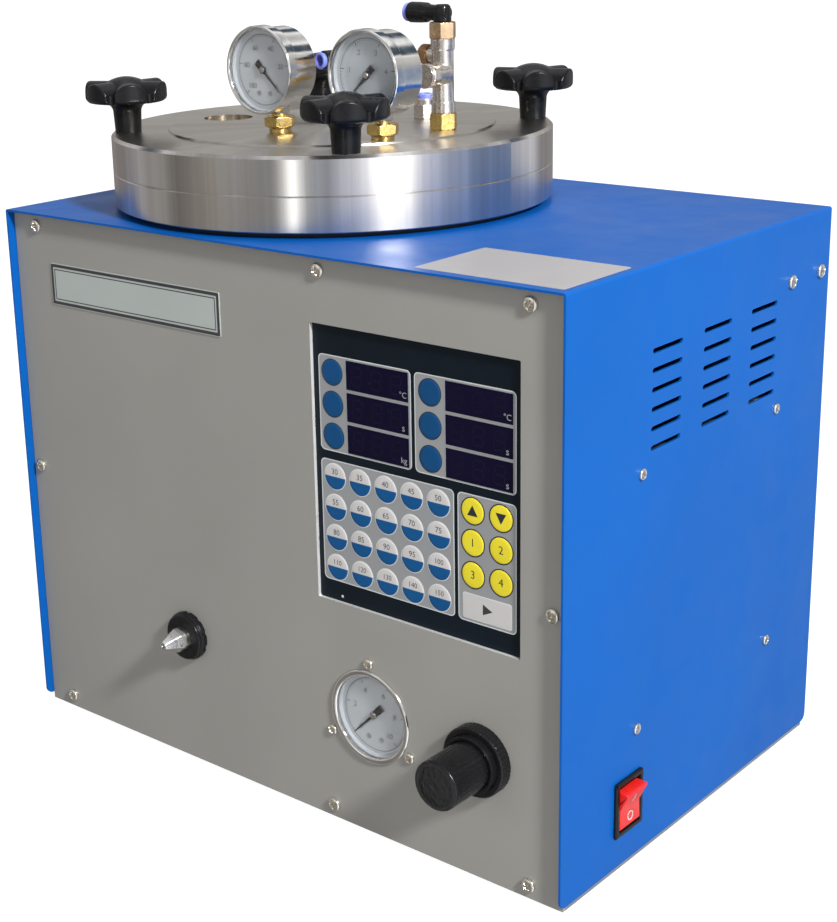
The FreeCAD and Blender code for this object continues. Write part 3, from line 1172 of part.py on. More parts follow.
def release_ring(mouth, direction):
    """Release ring of a push-in port, which slides in its socket."""
    inner = TUBE_R + 0.15
    sleeve = RING_R - 0.4 - RUNNING_GAP
    profile = [(inner, -4.6), (sleeve, -4.6), (sleeve, RING_TRAVEL + 0.2), (RING_R + 0.1, RING_TRAVEL + 0.2),
               (RING_R + 0.1, RING_OUT - 0.5), (RING_R - 0.4, RING_OUT), (inner + 0.4, RING_OUT),
               (inner, RING_OUT - 0.4)]
    return turned(profile, mouth, direction)


def tee_elbow_at():
    return vec(TANK_X + TEE_AT[0], TANK_Y + TEE_AT[1], DISC_Z + TEE_TOP + TEE_HEX_HEIGHT)


def riser_elbow_at():
    return vec(TANK_X + ELBOW_PORT_AT[0], TANK_Y + ELBOW_PORT_AT[1], DISC_Z + RISER_TOP)


def elbow_mouth(at, direction):
    return at + Z_AXIS * ELBOW_RISE + direction * ELBOW_REACH


def riser():
    """Plated riser with a hexagon foot that lifts the second elbow over the gauges."""
    at = vec(TANK_X + ELBOW_PORT_AT[0], TANK_Y + ELBOW_PORT_AT[1], DISC_Z)
    nut = hexagon(HEX_FLATS, HEX_HEIGHT, at)
    tube = turned([(0, 0), (5.2, 0), (5.2, RISER_TOP - 7), (6.4, RISER_TOP - 6), (6.4, RISER_TOP),
                   (0, RISER_TOP)], at)
    body = nut.fuse([tube, shank(ELBOW_PORT_AT)]).removeSplitter()
    return body.cut(rod(at + Z_AXIS * (RISER_TOP - ELBOW_PIVOT_DEPTH - 0.5), Z_AXIS, ELBOW_PIVOT_R
                        + RUNNING_GAP, 8))


def straight_at():
    return vec(TANK_X + STRAIGHT_PORT_AT[0], TANK_Y + STRAIGHT_PORT_AT[1], DISC_Z + STRAIGHT_BODY_HEIGHT)


def straight_port():
    """Straight push-in fitting that stands on the lid."""
    top = straight_at()
    at = top - Z_AXIS * STRAIGHT_BODY_HEIGHT
    nut = hexagon(HEX_FLATS - 2, HEX_HEIGHT - 1, at)
    barrel = turned([(0, 0), (5.6, 0), (5.6, STRAIGHT_BODY_HEIGHT - 0.6), (5.0, STRAIGHT_BODY_HEIGHT),
                     (0, STRAIGHT_BODY_HEIGHT)], at)
    body = nut.fuse([barrel, shank(STRAIGHT_PORT_AT)]).removeSplitter()
    return body.cut(socket_cutters(top, Z_AXIS))


def power_inlet():
    """Three-pin mains inlet with a flange and a recessed socket."""
    w, h = INLET_BODY[0] / 2, INLET_BODY[1] / 2
    fw, fh = INLET_FLANGE[0] / 2, INLET_FLANGE[1] / 2
    face = REAR_Y + INLET_FLANGE_THICK
    flange = rounded_plate(INLET_X - fw, INLET_X + fw, INLET_Z - fh, INLET_Z + fh, REAR_Y, face, 3.0)
    body = box(INLET_X - w, INLET_X + w, face - INLET_DEPTH, REAR_Y, INLET_Z - h, INLET_Z + h)
    inlet = flange.fuse(body).removeSplitter()
    sw, sh, depth = SOCKET[0] / 2, SOCKET[1] / 2, SOCKET[2]
    socket = box(INLET_X - sw, INLET_X + sw, face - depth, face + 1, INLET_Z - sh, INLET_Z + sh)
    upright = [e for e in socket.Edges if abs(e.tangentAt(e.FirstParameter).y) > 0.9
               and e.CenterOfMass.z > INLET_Z]
    inlet = inlet.cut(socket.makeChamfer(4.0, upright))
    pw, ph, length = PIN
    pins = [box(INLET_X + x - pw / 2, INLET_X + x + pw / 2, face - depth - 1, face - depth + length,
                INLET_Z + z - ph / 2, INLET_Z + z + ph / 2) for x, z in ((-7, -1), (0, 2), (7, -1))]
    inlet = inlet.fuse(pins).removeSplitter()
    return inlet.cut([rod(vec(INLET_X + s * 20, REAR_Y - 1, INLET_Z), Y_AXIS, 1.6, 6) for s in (-1, 1)])


def rear_ports():
    """Bulkhead unions for the air and vacuum hoses."""
    solids = []
    for x in PORT_X:
        at = vec(x, REAR_Y, PORT_Z)
        nut = hexagon(PORT_FLATS, 5.0, at, Y_AXIS)
        barrel = turned([(0, 0), (6.2, 0), (6.2, PORT_REACH - 0.8), (5.4, PORT_REACH), (0, PORT_REACH)], at,
                        Y_AXIS)
        tail = rod(at, OUT, PORT_R, REAR_THICK)
        lock = hexagon(PORT_FLATS, 4.0, at + OUT * REAR_THICK, OUT)
        inner = rod(at + OUT * REAR_THICK, OUT, 5.0, PORT_INSIDE)
        body = nut.fuse([barrel, tail, lock, inner]).removeSplitter()
        solids.append(body.cut(rod(at + Y_AXIS * (PORT_REACH + 1), OUT, TUBE_R, TUBE_DEPTH + 1)))
    return Part.makeCompound(solids)


LEFT = vec(-1, 0, 0)
RISER_OUT = vec(-math.sin(math.radians(RISER_TURN)), -math.cos(math.radians(RISER_TURN)), 0)
NODES = {
    "base_tray": base_tray,
    "front_frame": front_frame,
    "feet": feet,
    "wrap_cover": wrap_cover,
    "front_panel": front_panel,
    "rear_panel": rear_panel,
    "panel_screws": panel_screws,
    "side_screws": side_screws,
    "inner_plate": inner_plate,
    "badge_plate": badge_plate,
    "keypad_overlay": keypad_overlay,
    "display_modules": display_modules,
    "control_board": control_board,
    "panel_gauge_case": panel_gauge_case,
    "panel_gauge_glass": lambda: gauge_glass(panel_gauge_at(), PANEL_GAUGE_R, PANEL_BEZEL_R, True),
    "panel_gauge_dial": lambda: gauge_dial(panel_gauge_at(), PANEL_GAUGE_R, PANEL_BEZEL_R, True),
    "panel_gauge_needle": lambda: gauge_needle(panel_gauge_at(), PANEL_GAUGE_R, PANEL_GAUGE_DEPTH, 225, 8.0),
    "regulator_body": regulator_body,
    "regulator_nut": regulator_nut,
    "regulator_stem": regulator_stem,
    "regulator_knob": regulator_knob,
    "nozzle_disc": nozzle_disc,
    "valve_body": valve_body,
    "nozzle_tip": nozzle_tip,
    "rocker_frame": rocker_frame,
    "rocker_paddle": rocker_paddle,
    "tank": tank,
    "tank_seat": tank_seat,
    "heater_band": heater_band,
    "lid_seal": lid_seal,
    "lid": lid,
    "fill_plug": fill_plug,
    "brass_adaptors": brass_adaptors,
    "vacuum_gauge_case": lambda: lid_gauge_case(VACUUM_GAUGE_AT),
    "vacuum_gauge_glass": lambda: gauge_glass(lid_gauge_at(VACUUM_GAUGE_AT), LID_GAUGE_R, LID_BEZEL_R, False),
    "vacuum_gauge_dial": lambda: gauge_dial(lid_gauge_at(VACUUM_GAUGE_AT), LID_GAUGE_R, LID_BEZEL_R, False),
    "vacuum_gauge_needle": lambda: gauge_needle(lid_gauge_at(VACUUM_GAUGE_AT), LID_GAUGE_R, LID_GAUGE_DEPTH,
                                                -45, 6.0),
    "pressure_gauge_case": lambda: lid_gauge_case(PRESSURE_GAUGE_AT),
    "pressure_gauge_glass": lambda: gauge_glass(lid_gauge_at(PRESSURE_GAUGE_AT), LID_GAUGE_R, LID_BEZEL_R,
                                                False),
    "pressure_gauge_dial": lambda: gauge_dial(lid_gauge_at(PRESSURE_GAUGE_AT), LID_GAUGE_R, LID_BEZEL_R,
                                              False),
    "pressure_gauge_needle": lambda: gauge_needle(lid_gauge_at(PRESSURE_GAUGE_AT), LID_GAUGE_R,
                                                  LID_GAUGE_DEPTH, 225, 6.0),
    "tee_body": tee_body,
    "tee_plug": tee_plug,
    "tee_elbow": lambda: elbow(tee_elbow_at(), LEFT),
    "tee_elbow_ring": lambda: release_ring(elbow_mouth(tee_elbow_at(), LEFT), LEFT),
    "riser": riser,
    "riser_elbow": lambda: elbow(riser_elbow_at(), RISER_OUT),
    "riser_elbow_ring": lambda: release_ring(elbow_mouth(riser_elbow_at(), RISER_OUT), RISER_OUT),
    "straight_port": straight_port,
    "straight_port_ring": lambda: release_ring(straight_at(), Z_AXIS),
    "power_inlet": power_inlet,
    "rear_ports": rear_ports,
}
for index in range(4):
    NODES["star_grip_%d" % (index + 1)] = lambda n=index: star_grip(n)
    NODES["stud_%d" % (index + 1)] = lambda n=index: stud(n)

os.makedirs("parts", exist_ok=True)
for name, build in NODES.items():
    piece = build().copy()
    piece.translate(SHIFT)
    piece.exportStep("parts/%s.step" % name)
    print(name, len(piece.Solids), "solids", piece.isValid(), round(piece.Volume, 1))
print("nodes", len(NODES), "shift", [round(v, 3) for v in SHIFT])
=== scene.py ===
# %% [markdown]
# The machine is a bench-top wax injector: a blue sheet-metal cabinet, a grey panel, and a heated
# pot whose thick lid stands on top. The solids come from the CAD model and are never moved here.
# This lesson gives each of them its finish and adds what is printed, moulded or stuck on.

# %% load the solids
import json
import math
import bmesh
import bpy
from mathutils import Matrix, Vector


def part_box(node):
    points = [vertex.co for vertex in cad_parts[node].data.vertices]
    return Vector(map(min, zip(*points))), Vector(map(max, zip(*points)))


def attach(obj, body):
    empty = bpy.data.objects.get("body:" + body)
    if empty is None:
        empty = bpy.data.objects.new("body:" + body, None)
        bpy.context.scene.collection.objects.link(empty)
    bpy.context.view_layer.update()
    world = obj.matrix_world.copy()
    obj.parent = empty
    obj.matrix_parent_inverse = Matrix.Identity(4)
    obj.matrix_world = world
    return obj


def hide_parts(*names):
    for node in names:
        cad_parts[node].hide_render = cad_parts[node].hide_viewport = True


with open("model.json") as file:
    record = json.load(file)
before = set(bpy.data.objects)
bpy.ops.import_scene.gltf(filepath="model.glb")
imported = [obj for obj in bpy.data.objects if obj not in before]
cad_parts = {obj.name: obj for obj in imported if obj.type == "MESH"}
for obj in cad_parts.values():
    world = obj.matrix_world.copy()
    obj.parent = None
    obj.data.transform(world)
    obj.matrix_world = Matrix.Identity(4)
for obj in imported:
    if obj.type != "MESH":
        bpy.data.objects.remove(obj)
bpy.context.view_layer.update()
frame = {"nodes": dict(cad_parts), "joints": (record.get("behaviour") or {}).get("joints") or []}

MM = 0.001
solids = frame["nodes"]
pivots = {joint["child"]: Vector(joint["pos_m"]) for joint in frame["joints"] if "pos_m" in joint}

# %% [markdown]
# The photograph was taken from the front right, a little above the lid. A camera fitted to the
# cabinet's corners, the screws and the lid gives one place and one lens, so they are typed in
# as found. The image is 837 by 922 pixels, and the lens counts along the larger side.

# %% camera
IMAGE_WIDTH, IMAGE_HEIGHT = 837, 922
FOCAL_PX, CENTRE_U, CENTRE_V = 1701.6, 363.98, 407.46
SENSOR_MM = 36.0
NEAR_CLIP = 0.01
EYE = Vector((0.59782, -0.72348, 0.48590))
RIGHT = Vector((0.760253, 0.649163, -0.024564))
DOWN = Vector((0.168076, -0.233083, -0.957822))
FORWARD = Vector((-0.627508, 0.724058, -0.286310))


def put(name, data):
    made = bpy.data.objects.new(name, data)
    bpy.context.scene.collection.objects.link(made)
    return made


lens = bpy.data.cameras.new("eye")
lens.sensor_fit = "VERTICAL"
lens.sensor_height = SENSOR_MM
lens.lens = FOCAL_PX * SENSOR_MM / IMAGE_HEIGHT
lens.shift_x = (IMAGE_WIDTH / 2 - CENTRE_U) / IMAGE_HEIGHT
lens.shift_y = (CENTRE_V - IMAGE_HEIGHT / 2) / IMAGE_HEIGHT
lens.clip_start = NEAR_CLIP
eye = put("eye", lens)
eye.matrix_world = Matrix.Translation(EYE) @ Matrix((RIGHT, -DOWN, -FORWARD)).transposed().to_4x4()
bpy.context.scene.camera = eye
print("lens", round(lens.lens, 2), "mm")

# %% [markdown]
# Every finish here, and the room too, is a small graph of nodes. The same few steps come back in
# all of them: a noise, a change of range, a mix of two colours, a fine relief. Each is written
# once as a function that takes sockets and gives a socket, so the recipes below read as sentences.

# %% node steps
def node(tree, kind, **settings):
    made = tree.nodes.new(kind)
    for key, value in settings.items():
        setattr(made, key, value)
    return made


def noise(tree, vector, scale, detail=3.0, rough=0.5):
    made = node(tree, "ShaderNodeTexNoise")
    made.inputs["Scale"].default_value = scale
    made.inputs["Detail"].default_value = detail
    made.inputs["Roughness"].default_value = rough
    tree.links.new(vector, made.inputs["Vector"])
    return made.outputs["Fac"]


def spread(tree, value, low, high, start=0.3, end=0.7):
    made = node(tree, "ShaderNodeMapRange")
    for key, number in (("From Min", start), ("From Max", end), ("To Min", low), ("To Max", high)):
        made.inputs[key].default_value = number
    tree.links.new(value, made.inputs["Value"])
    return made.outputs["Result"]


def mixed(tree, share, *ends):
    made = node(tree, "ShaderNodeMix", data_type="RGBA")
    for key, end in zip("AB", ends):
        if isinstance(end, bpy.types.NodeSocket):
            tree.links.new(end, made.inputs[key])
        else:
            made.inputs[key].default_value = (*end, 1)
    tree.links.new(share, made.inputs["Factor"])
    return made.outputs["Result"]


def relief(tree, height, strength, distance):
    made = node(tree, "ShaderNodeBump")
    made.inputs["Strength"].default_value = strength
    made.inputs["Distance"].default_value = distance
    tree.links.new(height, made.inputs["Height"])
    return made.outputs["Normal"]


def ramp(tree, value, stops):
    made = node(tree, "ShaderNodeValToRGB")
    marks = made.color_ramp.elements
    while len(marks) < len(stops):
        marks.new(0.5)
    for mark, (at, colour) in zip(marks, stops):
        mark.position = at
        mark.color = (*colour, 1)
    tree.links.new(value, made.inputs[0])
    return made.outputs["Color"]


# %% directions in a node tree
def split(tree, vector):
    made = node(tree, "ShaderNodeSeparateXYZ")
    tree.links.new(vector, made.inputs[0])
    return made.outputs


def joined(tree, **axes):
    made = node(tree, "ShaderNodeCombineXYZ")
    for axis, value in axes.items():
        tree.links.new(value, made.inputs[axis])
    return made.outputs[0]


def compass(tree, parts):
    made = node(tree, "ShaderNodeMath", operation="ARCTAN2")
    tree.links.new(parts["Y"], made.inputs[0])
    tree.links.new(parts["X"], made.inputs[1])
    return made.outputs[0]


print("node steps ready")

# %% [markdown]
# Bright metal shows the room more than itself. The real lid mirrors windows and dull walls as
# upright bars, so the walls are greys by compass angle, with one narrow window and one wide one.
# The ceiling is greys by height, with a dark beam between two bright strips. Two ramps on the
# sky direction hold both. Their stops were set one by one, and no picture is used.

# %% the room
WALLS = [(0.0, (0.40, 0.38, 0.40)), (0.04, (0.62, 0.60, 0.60)), (0.09, (0.55, 0.53, 0.51)),
         (0.12, (0.24, 0.22, 0.20)), (0.19, (0.44, 0.41, 0.37)), (0.22, (0.28, 0.27, 0.26)),
         (0.285, (0.42, 0.42, 0.42)), (0.300, (1.0, 1.0, 0.95)), (0.304, (4.4, 4.4, 4.3)),
         (0.312, (4.4, 4.4, 4.3)), (0.318, (0.75, 0.78, 0.80)), (0.36, (0.50, 0.54, 0.64)),
         (0.38, (1.0, 1.02, 1.12)), (0.41, (1.5, 1.55, 1.7)), (0.42, (2.8, 2.85, 2.9)),
         (0.47, (2.8, 2.85, 2.9)), (0.495, (1.1, 1.15, 1.35)), (0.54, (0.38, 0.47, 0.70)),
         (0.645, (0.34, 0.43, 0.60)), (0.66, (1.0, 1.02, 1.1)), (0.71, (1.05, 1.07, 1.12)),
         (0.74, (0.42, 0.40, 0.41)), (0.92, (0.36, 0.33, 0.32))]
CEILING = [(0.0, (0.52, 0.50, 0.47)), (0.40, (0.95, 0.93, 0.90)), (0.44, (1.5, 1.5, 1.5)),
           (0.48, (0.06, 0.10, 0.14)), (0.60, (0.09, 0.13, 0.17)), (0.63, (1.9, 1.9, 1.9)),
           (0.68, (0.62, 0.62, 0.62)), (1.0, (0.66, 0.67, 0.68))]
WALL_END, CEILING_START = 0.02, 0.30
ROOM_STRENGTH = 0.75
room = bpy.data.worlds.new("room")
room.use_nodes = True
bpy.context.scene.world = room
tree = room.node_tree
sky = split(tree, node(tree, "ShaderNodeTexCoord").outputs["Generated"])
walls = ramp(tree, spread(tree, compass(tree, sky), 0, 1, -math.pi, math.pi), WALLS)
ceiling = ramp(tree, sky["Z"], CEILING)
rise = spread(tree, sky["Z"], 0, 1, WALL_END, CEILING_START)
background = tree.nodes["Background"]
tree.links.new(mixed(tree, rise, walls, ceiling), background.inputs["Color"])
background.inputs["Strength"].default_value = ROOM_STRENGTH
print("room stops", len(WALLS), len(CEILING))

# %% [markdown]
# One small lamp at the upper right gives the panel its slanting shadows. Three wide ones lift the
# dark sides. A low one stands for light thrown back by the bench, and metal doesn't mirror it.

# %% lamps
MIDDLE = (0.0, 0.0, 0.18)


def lamp(name, place, target, size, watts, colour=(1, 1, 1)):
    light = bpy.data.lights.new(name, "AREA")
    light.shape = "RECTANGLE"
    light.size, light.size_y = size
    light.energy = watts
    light.color = colour
    held = put(name, light)
    away = Vector(place) - Vector(target)
    held.matrix_world = Matrix.Translation(place) @ away.to_track_quat("Z", "Y").to_matrix().to_4x4()
    return held


lamp("key", (1.75, -0.62, 1.50), MIDDLE, (0.24, 0.24), 76)
lamp("front_fill", (-0.5, -2.2, 0.9), MIDDLE, (1.4, 1.4), 3)
lamp("side_fill", (2.2, 0.3, 0.7), MIDDLE, (1.2, 1.4), 1.5)
lamp("overhead", (-0.2, 0.4, 2.2), MIDDLE, (1.6, 1.6), 6)
bounce = lamp("bounce", (0.35, -0.95, 0.10), (0.10, -0.10, 0.06), (0.6, 0.16), 1.7, (1, 0.97, 0.92))
bounce.visible_glossy = False
print("lamps", len(bpy.data.lights))

# %% [markdown]
# Every finish has the same bones: a base colour that drifts a little over the surface, a
# roughness that isn't even, and a fine bump. One recipe with a few numbers keeps the finishes
# alike and short. Each has its own scale, from powder coat to moulded grain.

# %% the recipe for a finish
WEAR_FINER = 4
FINE_DETAIL = 4.0


def blank(name):
    made = bpy.data.materials.new(name)
    made.use_nodes = True
    return made, made.node_tree, made.node_tree.nodes["Principled BSDF"]


def finish(name, colour, rough, metal=0.0, drift=0.08, patch=25.0, grain=900.0, bump=0.05,
           depth=0.0001, uneven=0.06, **fixed):
    made, tree, shader = blank(name)
    shader.inputs["Metallic"].default_value = metal
    for key, value in fixed.items():
        shader.inputs[key.replace("_", " ")].default_value = value
    place = node(tree, "ShaderNodeTexCoord").outputs["Object"]
    dark = [c * (1 - drift) for c in colour]
    pale = [min(1, c * (1 + drift)) for c in colour]
    blotch = spread(tree, noise(tree, place, patch), 0, 1)
    wear = spread(tree, noise(tree, place, patch * WEAR_FINER), rough - uneven, rough + uneven)
    fine = relief(tree, noise(tree, place, grain, FINE_DETAIL), bump, depth)
    tree.links.new(mixed(tree, blotch, dark, pale), shader.inputs["Base Color"])
    tree.links.new(wear, shader.inputs["Roughness"])
    tree.links.new(fine, shader.inputs["Normal"])
    made.diffuse_color = (*colour, 1)
    return made


print("recipe ready")

# %% painted sheet and bare metal
blue_coat = finish("blue_coat", (0.0005, 0.082, 0.345), 0.40, drift=0.05, patch=9, grain=1400,
                   bump=0.35, depth=0.00012, Specular_IOR_Level=0.16)
panel_grey = finish("panel_grey", (0.252, 0.248, 0.232), 0.46, drift=0.05, patch=7, grain=1100,
                    bump=0.16, uneven=0.09)
white_plate = finish("white_plate", (0.36, 0.395, 0.38), 0.36, drift=0.03, patch=12)
bare_sheet = finish("bare_sheet", (0.42, 0.43, 0.44), 0.42, metal=0.9, drift=0.12, patch=60, grain=700)
heater_steel = finish("heater_steel", (0.40, 0.37, 0.33), 0.38, metal=0.9, drift=0.2)
machined = finish("machined", (0.72, 0.71, 0.69), 0.2, metal=1.0, patch=200, grain=2000, bump=0.1)
cut_edge = finish("cut_edge", (0.80, 0.80, 0.80), 0.3, metal=0.5)
print("sheet and metal", len(bpy.data.materials))

# %% plated and brass parts
bright_screw = finish("bright_screw", (0.74, 0.70, 0.62), 0.24, metal=1.0, patch=300, grain=3000)
plated = finish("plated", (0.66, 0.61, 0.55), 0.27, metal=1.0, drift=0.12, patch=110, grain=1500,
                bump=0.2)
case_chrome = finish("case_chrome", (0.74, 0.73, 0.71), 0.12, metal=1.0, drift=0.05, patch=60,
                     grain=900, uneven=0.04)
brass = finish("brass", (0.66, 0.47, 0.17), 0.27, metal=1.0, drift=0.14, patch=150, grain=1200,
               bump=0.12)
# The tee plug's brass is painted dark brown: painted shade, as the plug sits in shadow.
brass_painted_shade = finish("brass_painted_shade", (0.36, 0.20, 0.10), 0.36, metal=0.9, drift=0.2, patch=200,
                    grain=1500, bump=0.2)
nut_brass = finish("nut_brass", (0.60, 0.42, 0.26), 0.3, metal=1.0, drift=0.2, patch=220, grain=1400,
                   bump=0.15)
print("plated and brass", len(bpy.data.materials))

# %% mouldings, rubber and glass
black_mould = finish("black_mould", (0.006, 0.006, 0.007), 0.27, drift=0.2, patch=80, grain=2200,
                     bump=0.12, uneven=0.07, Specular_IOR_Level=0.25)
black_cast = finish("black_cast", (0.005, 0.005, 0.006), 0.30, drift=0.25, patch=60, grain=1300,
                    bump=0.3, Specular_IOR_Level=0.22)
pitted = finish("pitted", (0.005, 0.005, 0.006), 0.16, drift=0.3, patch=300, grain=520, bump=1.0,
                depth=0.0022, uneven=0.05)
violet_ring = finish("violet_ring", (0.19, 0.24, 0.80), 0.34, patch=120, Subsurface_Weight=0.15)
# The red moulding glows faintly: a painted glow that lightens its red.
red_mould_painted_glow = finish("red_mould_painted_glow", (0.62, 0.016, 0.012), 0.3, patch=60, grain=1500,
                   Emission_Color=(0.5, 0.0, 0.0, 1), Emission_Strength=0.12)
black_rubber = finish("black_rubber", (0.02, 0.02, 0.02), 0.75, drift=0.2, patch=70, grain=800,
                      bump=0.4)
red_seal = finish("red_seal", (0.33, 0.06, 0.03), 0.6)
circuit = finish("circuit", (0.01, 0.10, 0.04), 0.4, patch=200)
clear = finish("clear", (0.95, 0.97, 1.0), 0.04, uneven=0.02, bump=0.0, Transmission_Weight=1.0,
               IOR=1.45, Alpha=0.18)
print("mouldings", len(bpy.data.materials))

# %% prints and dials
label_film = finish("label_film", (0.33, 0.318, 0.327), 0.34, drift=0.03, patch=18, uneven=0.03)
keypad_black = finish("keypad_black", (0.004, 0.008, 0.013), 0.42, patch=30, uneven=0.05,
                      Specular_IOR_Level=0.12)
print_grey = finish("print_grey", (0.235, 0.242, 0.25), 0.42, drift=0.04, patch=20)
print_line = finish("print_line", (0.52, 0.54, 0.55), 0.42, drift=0.04)
print_white = finish("print_white", (0.47, 0.46, 0.455), 0.42, drift=0.03, Specular_IOR_Level=0.3)
print_blue = finish("print_blue", (0.001, 0.052, 0.160), 0.42, drift=0.06, Specular_IOR_Level=0.25)
print_key_blue = finish("print_key_blue", (0.001, 0.066, 0.205), 0.42, drift=0.06,
                        Specular_IOR_Level=0.25)
print_yellow = finish("print_yellow", (0.66, 0.56, 0.02), 0.4, drift=0.05)
print_dark = finish("print_dark", (0.012, 0.018, 0.024), 0.4)
print_ink = finish("print_ink", (0.03, 0.03, 0.035), 0.5)
display_glass = finish("display_glass", (0.004, 0.003, 0.018), 0.22, patch=40, Specular_IOR_Level=0.12)
display_segment = finish("display_segment", (0.007, 0.005, 0.018), 0.22, Specular_IOR_Level=0.12)
dial_grey = finish("dial_grey", (0.43, 0.46, 0.49), 0.55, drift=0.05, patch=70)
needle_black = finish("needle_black", (0.01, 0.01, 0.012), 0.4)
print("prints and dials", len(bpy.data.materials))

# %% [markdown]
# The lid and the ring under it are turned on a lathe. Their fine lines run round the middle, so
# light spreads across them: bars down the side and rays on the top. An anisotropic shader with a
# round tangent gives that, and noise read by radius and height draws the tool's lines.
# Noise read by compass angle also darkens the base colour in upright bands: painted reflection bars.

# %% turned aluminium
REFLECTION_BAR_SHADE = (0.66, 0.63, 0.60)
LINE_UNEVEN, LINE_BUMP, LINE_DEPTH = 0.02, 0.12, 0.01 * MM
lid_low, lid_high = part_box("lid")
lid_middle = ((lid_low.x + lid_high.x) / 2, (lid_low.y + lid_high.y) / 2, 0)


def turned(name, colour, rough, streak, lines):
    made, tree, shader = blank(name)
    shader.inputs["Metallic"].default_value = 1.0
    shader.inputs["Anisotropic"].default_value = 0.8
    shader.inputs["Anisotropic Rotation"].default_value = 0.25
    tangent = node(tree, "ShaderNodeTangent", direction_type="RADIAL", axis="Z")
    tree.links.new(tangent.outputs[0], shader.inputs["Tangent"])
    from_middle = node(tree, "ShaderNodeVectorMath", operation="SUBTRACT")
    from_middle.inputs[1].default_value = lid_middle
    tree.links.new(node(tree, "ShaderNodeTexCoord").outputs["Object"], from_middle.inputs[0])
    parts = split(tree, from_middle.outputs[0])
    radius = node(tree, "ShaderNodeVectorMath", operation="LENGTH")
    tree.links.new(joined(tree, X=parts["X"], Y=parts["Y"]), radius.inputs[0])
    tool = noise(tree, joined(tree, X=radius.outputs["Value"], Y=parts["Z"]), lines, 2.0)
    # Painted reflection bars: the base colour darkens in bands round the axis.
    painted_reflection_bars = noise(tree, joined(tree, X=compass(tree, parts)), streak, 5.0, 0.65)
    dark = [c * k for c, k in zip(colour, REFLECTION_BAR_SHADE)]
    tree.links.new(mixed(tree, spread(tree, painted_reflection_bars, 0, 1), dark, colour), shader.inputs["Base Color"])
    tree.links.new(spread(tree, tool, rough - LINE_UNEVEN, rough + LINE_UNEVEN), shader.inputs["Roughness"])
    tree.links.new(relief(tree, tool, LINE_BUMP, LINE_DEPTH), shader.inputs["Normal"])
    return made


turned_metal = turned("turned_metal", (0.70, 0.69, 0.68), 0.24, 9.0, 2600.0)
turned_top = turned("turned_top", (0.66, 0.635, 0.60), 0.30, 5.0, 1500.0)
print("turned about", [round(v, 4) for v in lid_middle])

# %% [markdown]
# Real edges are never razor sharp: moulded plastic and small metal parts all catch a thin line of
# light. Such a solid gets a weld, a small bevel and even shading as modifiers, which leave the CAD
# mesh as it is. Sheets, the lid, the tank and the star grips keep the rounds and the shading that
# they come with, because a bevel on a wide face with holes or on a domed form shades in streaks.

# %% soften the edges
USUAL_EDGE = 0.3 * MM
WELD_GAP = 0.002 * MM
EDGE_ANGLE = math.radians(38)


def dress(name, skin, edge):
    solid = solids[name]
    mesh = solid.data
    mesh.materials.clear()
    mesh.materials.append(skin)
    mesh.polygons.foreach_set("material_index", [0] * len(mesh.polygons))
    if not edge:
        return
    if "custom_normal" in mesh.attributes:
        mesh.attributes.remove(mesh.attributes["custom_normal"])
    mesh.shade_smooth()
    weld = solid.modifiers.new("weld", "WELD")
    weld.merge_threshold = WELD_GAP
    bevel = solid.modifiers.new("bevel", "BEVEL")
    bevel.width = edge
    bevel.segments = 2
    bevel.limit_method = "ANGLE"
    bevel.angle_limit = EDGE_ANGLE
    bevel.use_clamp_overlap = False
    bevel.miter_outer = "MITER_ARC"
    even = solid.modifiers.new("even", "WEIGHTED_NORMAL")
    even.keep_sharp = False


# %% which finish goes where
SKINS = {
    "base_tray": bare_sheet, "front_frame": bare_sheet, "feet": black_rubber, "wrap_cover": blue_coat,
    "front_panel": panel_grey, "rear_panel": blue_coat, "inner_plate": bare_sheet,
    "badge_plate": white_plate, "keypad_overlay": keypad_black, "display_modules": display_glass,
    "control_board": circuit, "panel_gauge_case": case_chrome, "panel_gauge_dial": dial_grey,
    "panel_gauge_needle": needle_black, "panel_gauge_glass": clear, "regulator_body": black_mould,
    "regulator_nut": black_mould, "regulator_stem": machined, "regulator_knob": black_mould,
    "nozzle_disc": black_mould, "valve_body": brass, "nozzle_tip": machined,
    "rocker_frame": black_mould, "rocker_paddle": red_mould_painted_glow, "tank": turned_metal,
    "tank_seat": black_rubber, "heater_band": heater_steel, "lid_seal": red_seal,
    "lid": turned_metal, "brass_adaptors": brass, "vacuum_gauge_case": case_chrome,
    "vacuum_gauge_dial": dial_grey, "vacuum_gauge_needle": needle_black, "vacuum_gauge_glass": clear,
    "pressure_gauge_case": case_chrome, "pressure_gauge_dial": dial_grey,
    "pressure_gauge_needle": needle_black, "pressure_gauge_glass": clear, "tee_body": plated,
    "tee_plug": brass_painted_shade, "tee_elbow": black_mould, "tee_elbow_ring": violet_ring,
    "riser": plated, "riser_elbow": black_mould, "riser_elbow_ring": violet_ring,
    "straight_port": plated, "straight_port_ring": violet_ring, "power_inlet": black_mould,
    "rear_ports": plated, "fill_plug": brass, "panel_screws": bright_screw, "side_screws": bright_screw,
}
EDGES = {name: 0 for name in (
    "wrap_cover", "front_panel", "rear_panel", "base_tray", "front_frame", "inner_plate", "lid", "tank",
    "keypad_overlay", "panel_screws", "side_screws", "panel_gauge_glass", "vacuum_gauge_glass",
    "pressure_gauge_glass")}
EDGES.update({
    "badge_plate": 0.1 * MM, "panel_gauge_needle": 0.1 * MM, "vacuum_gauge_needle": 0.1 * MM,
    "pressure_gauge_needle": 0.1 * MM, "regulator_nut": 0.12 * MM, "regulator_knob": 0.12 * MM,
    "nozzle_tip": 0.2 * MM, "power_inlet": 0.4 * MM, "rocker_paddle": 0.5 * MM, "feet": 0.6 * MM})
for number in range(1, 5):
    SKINS["star_grip_%d" % number] = black_cast
    SKINS["stud_%d" % number] = machined
    EDGES["star_grip_%d" % number] = 0
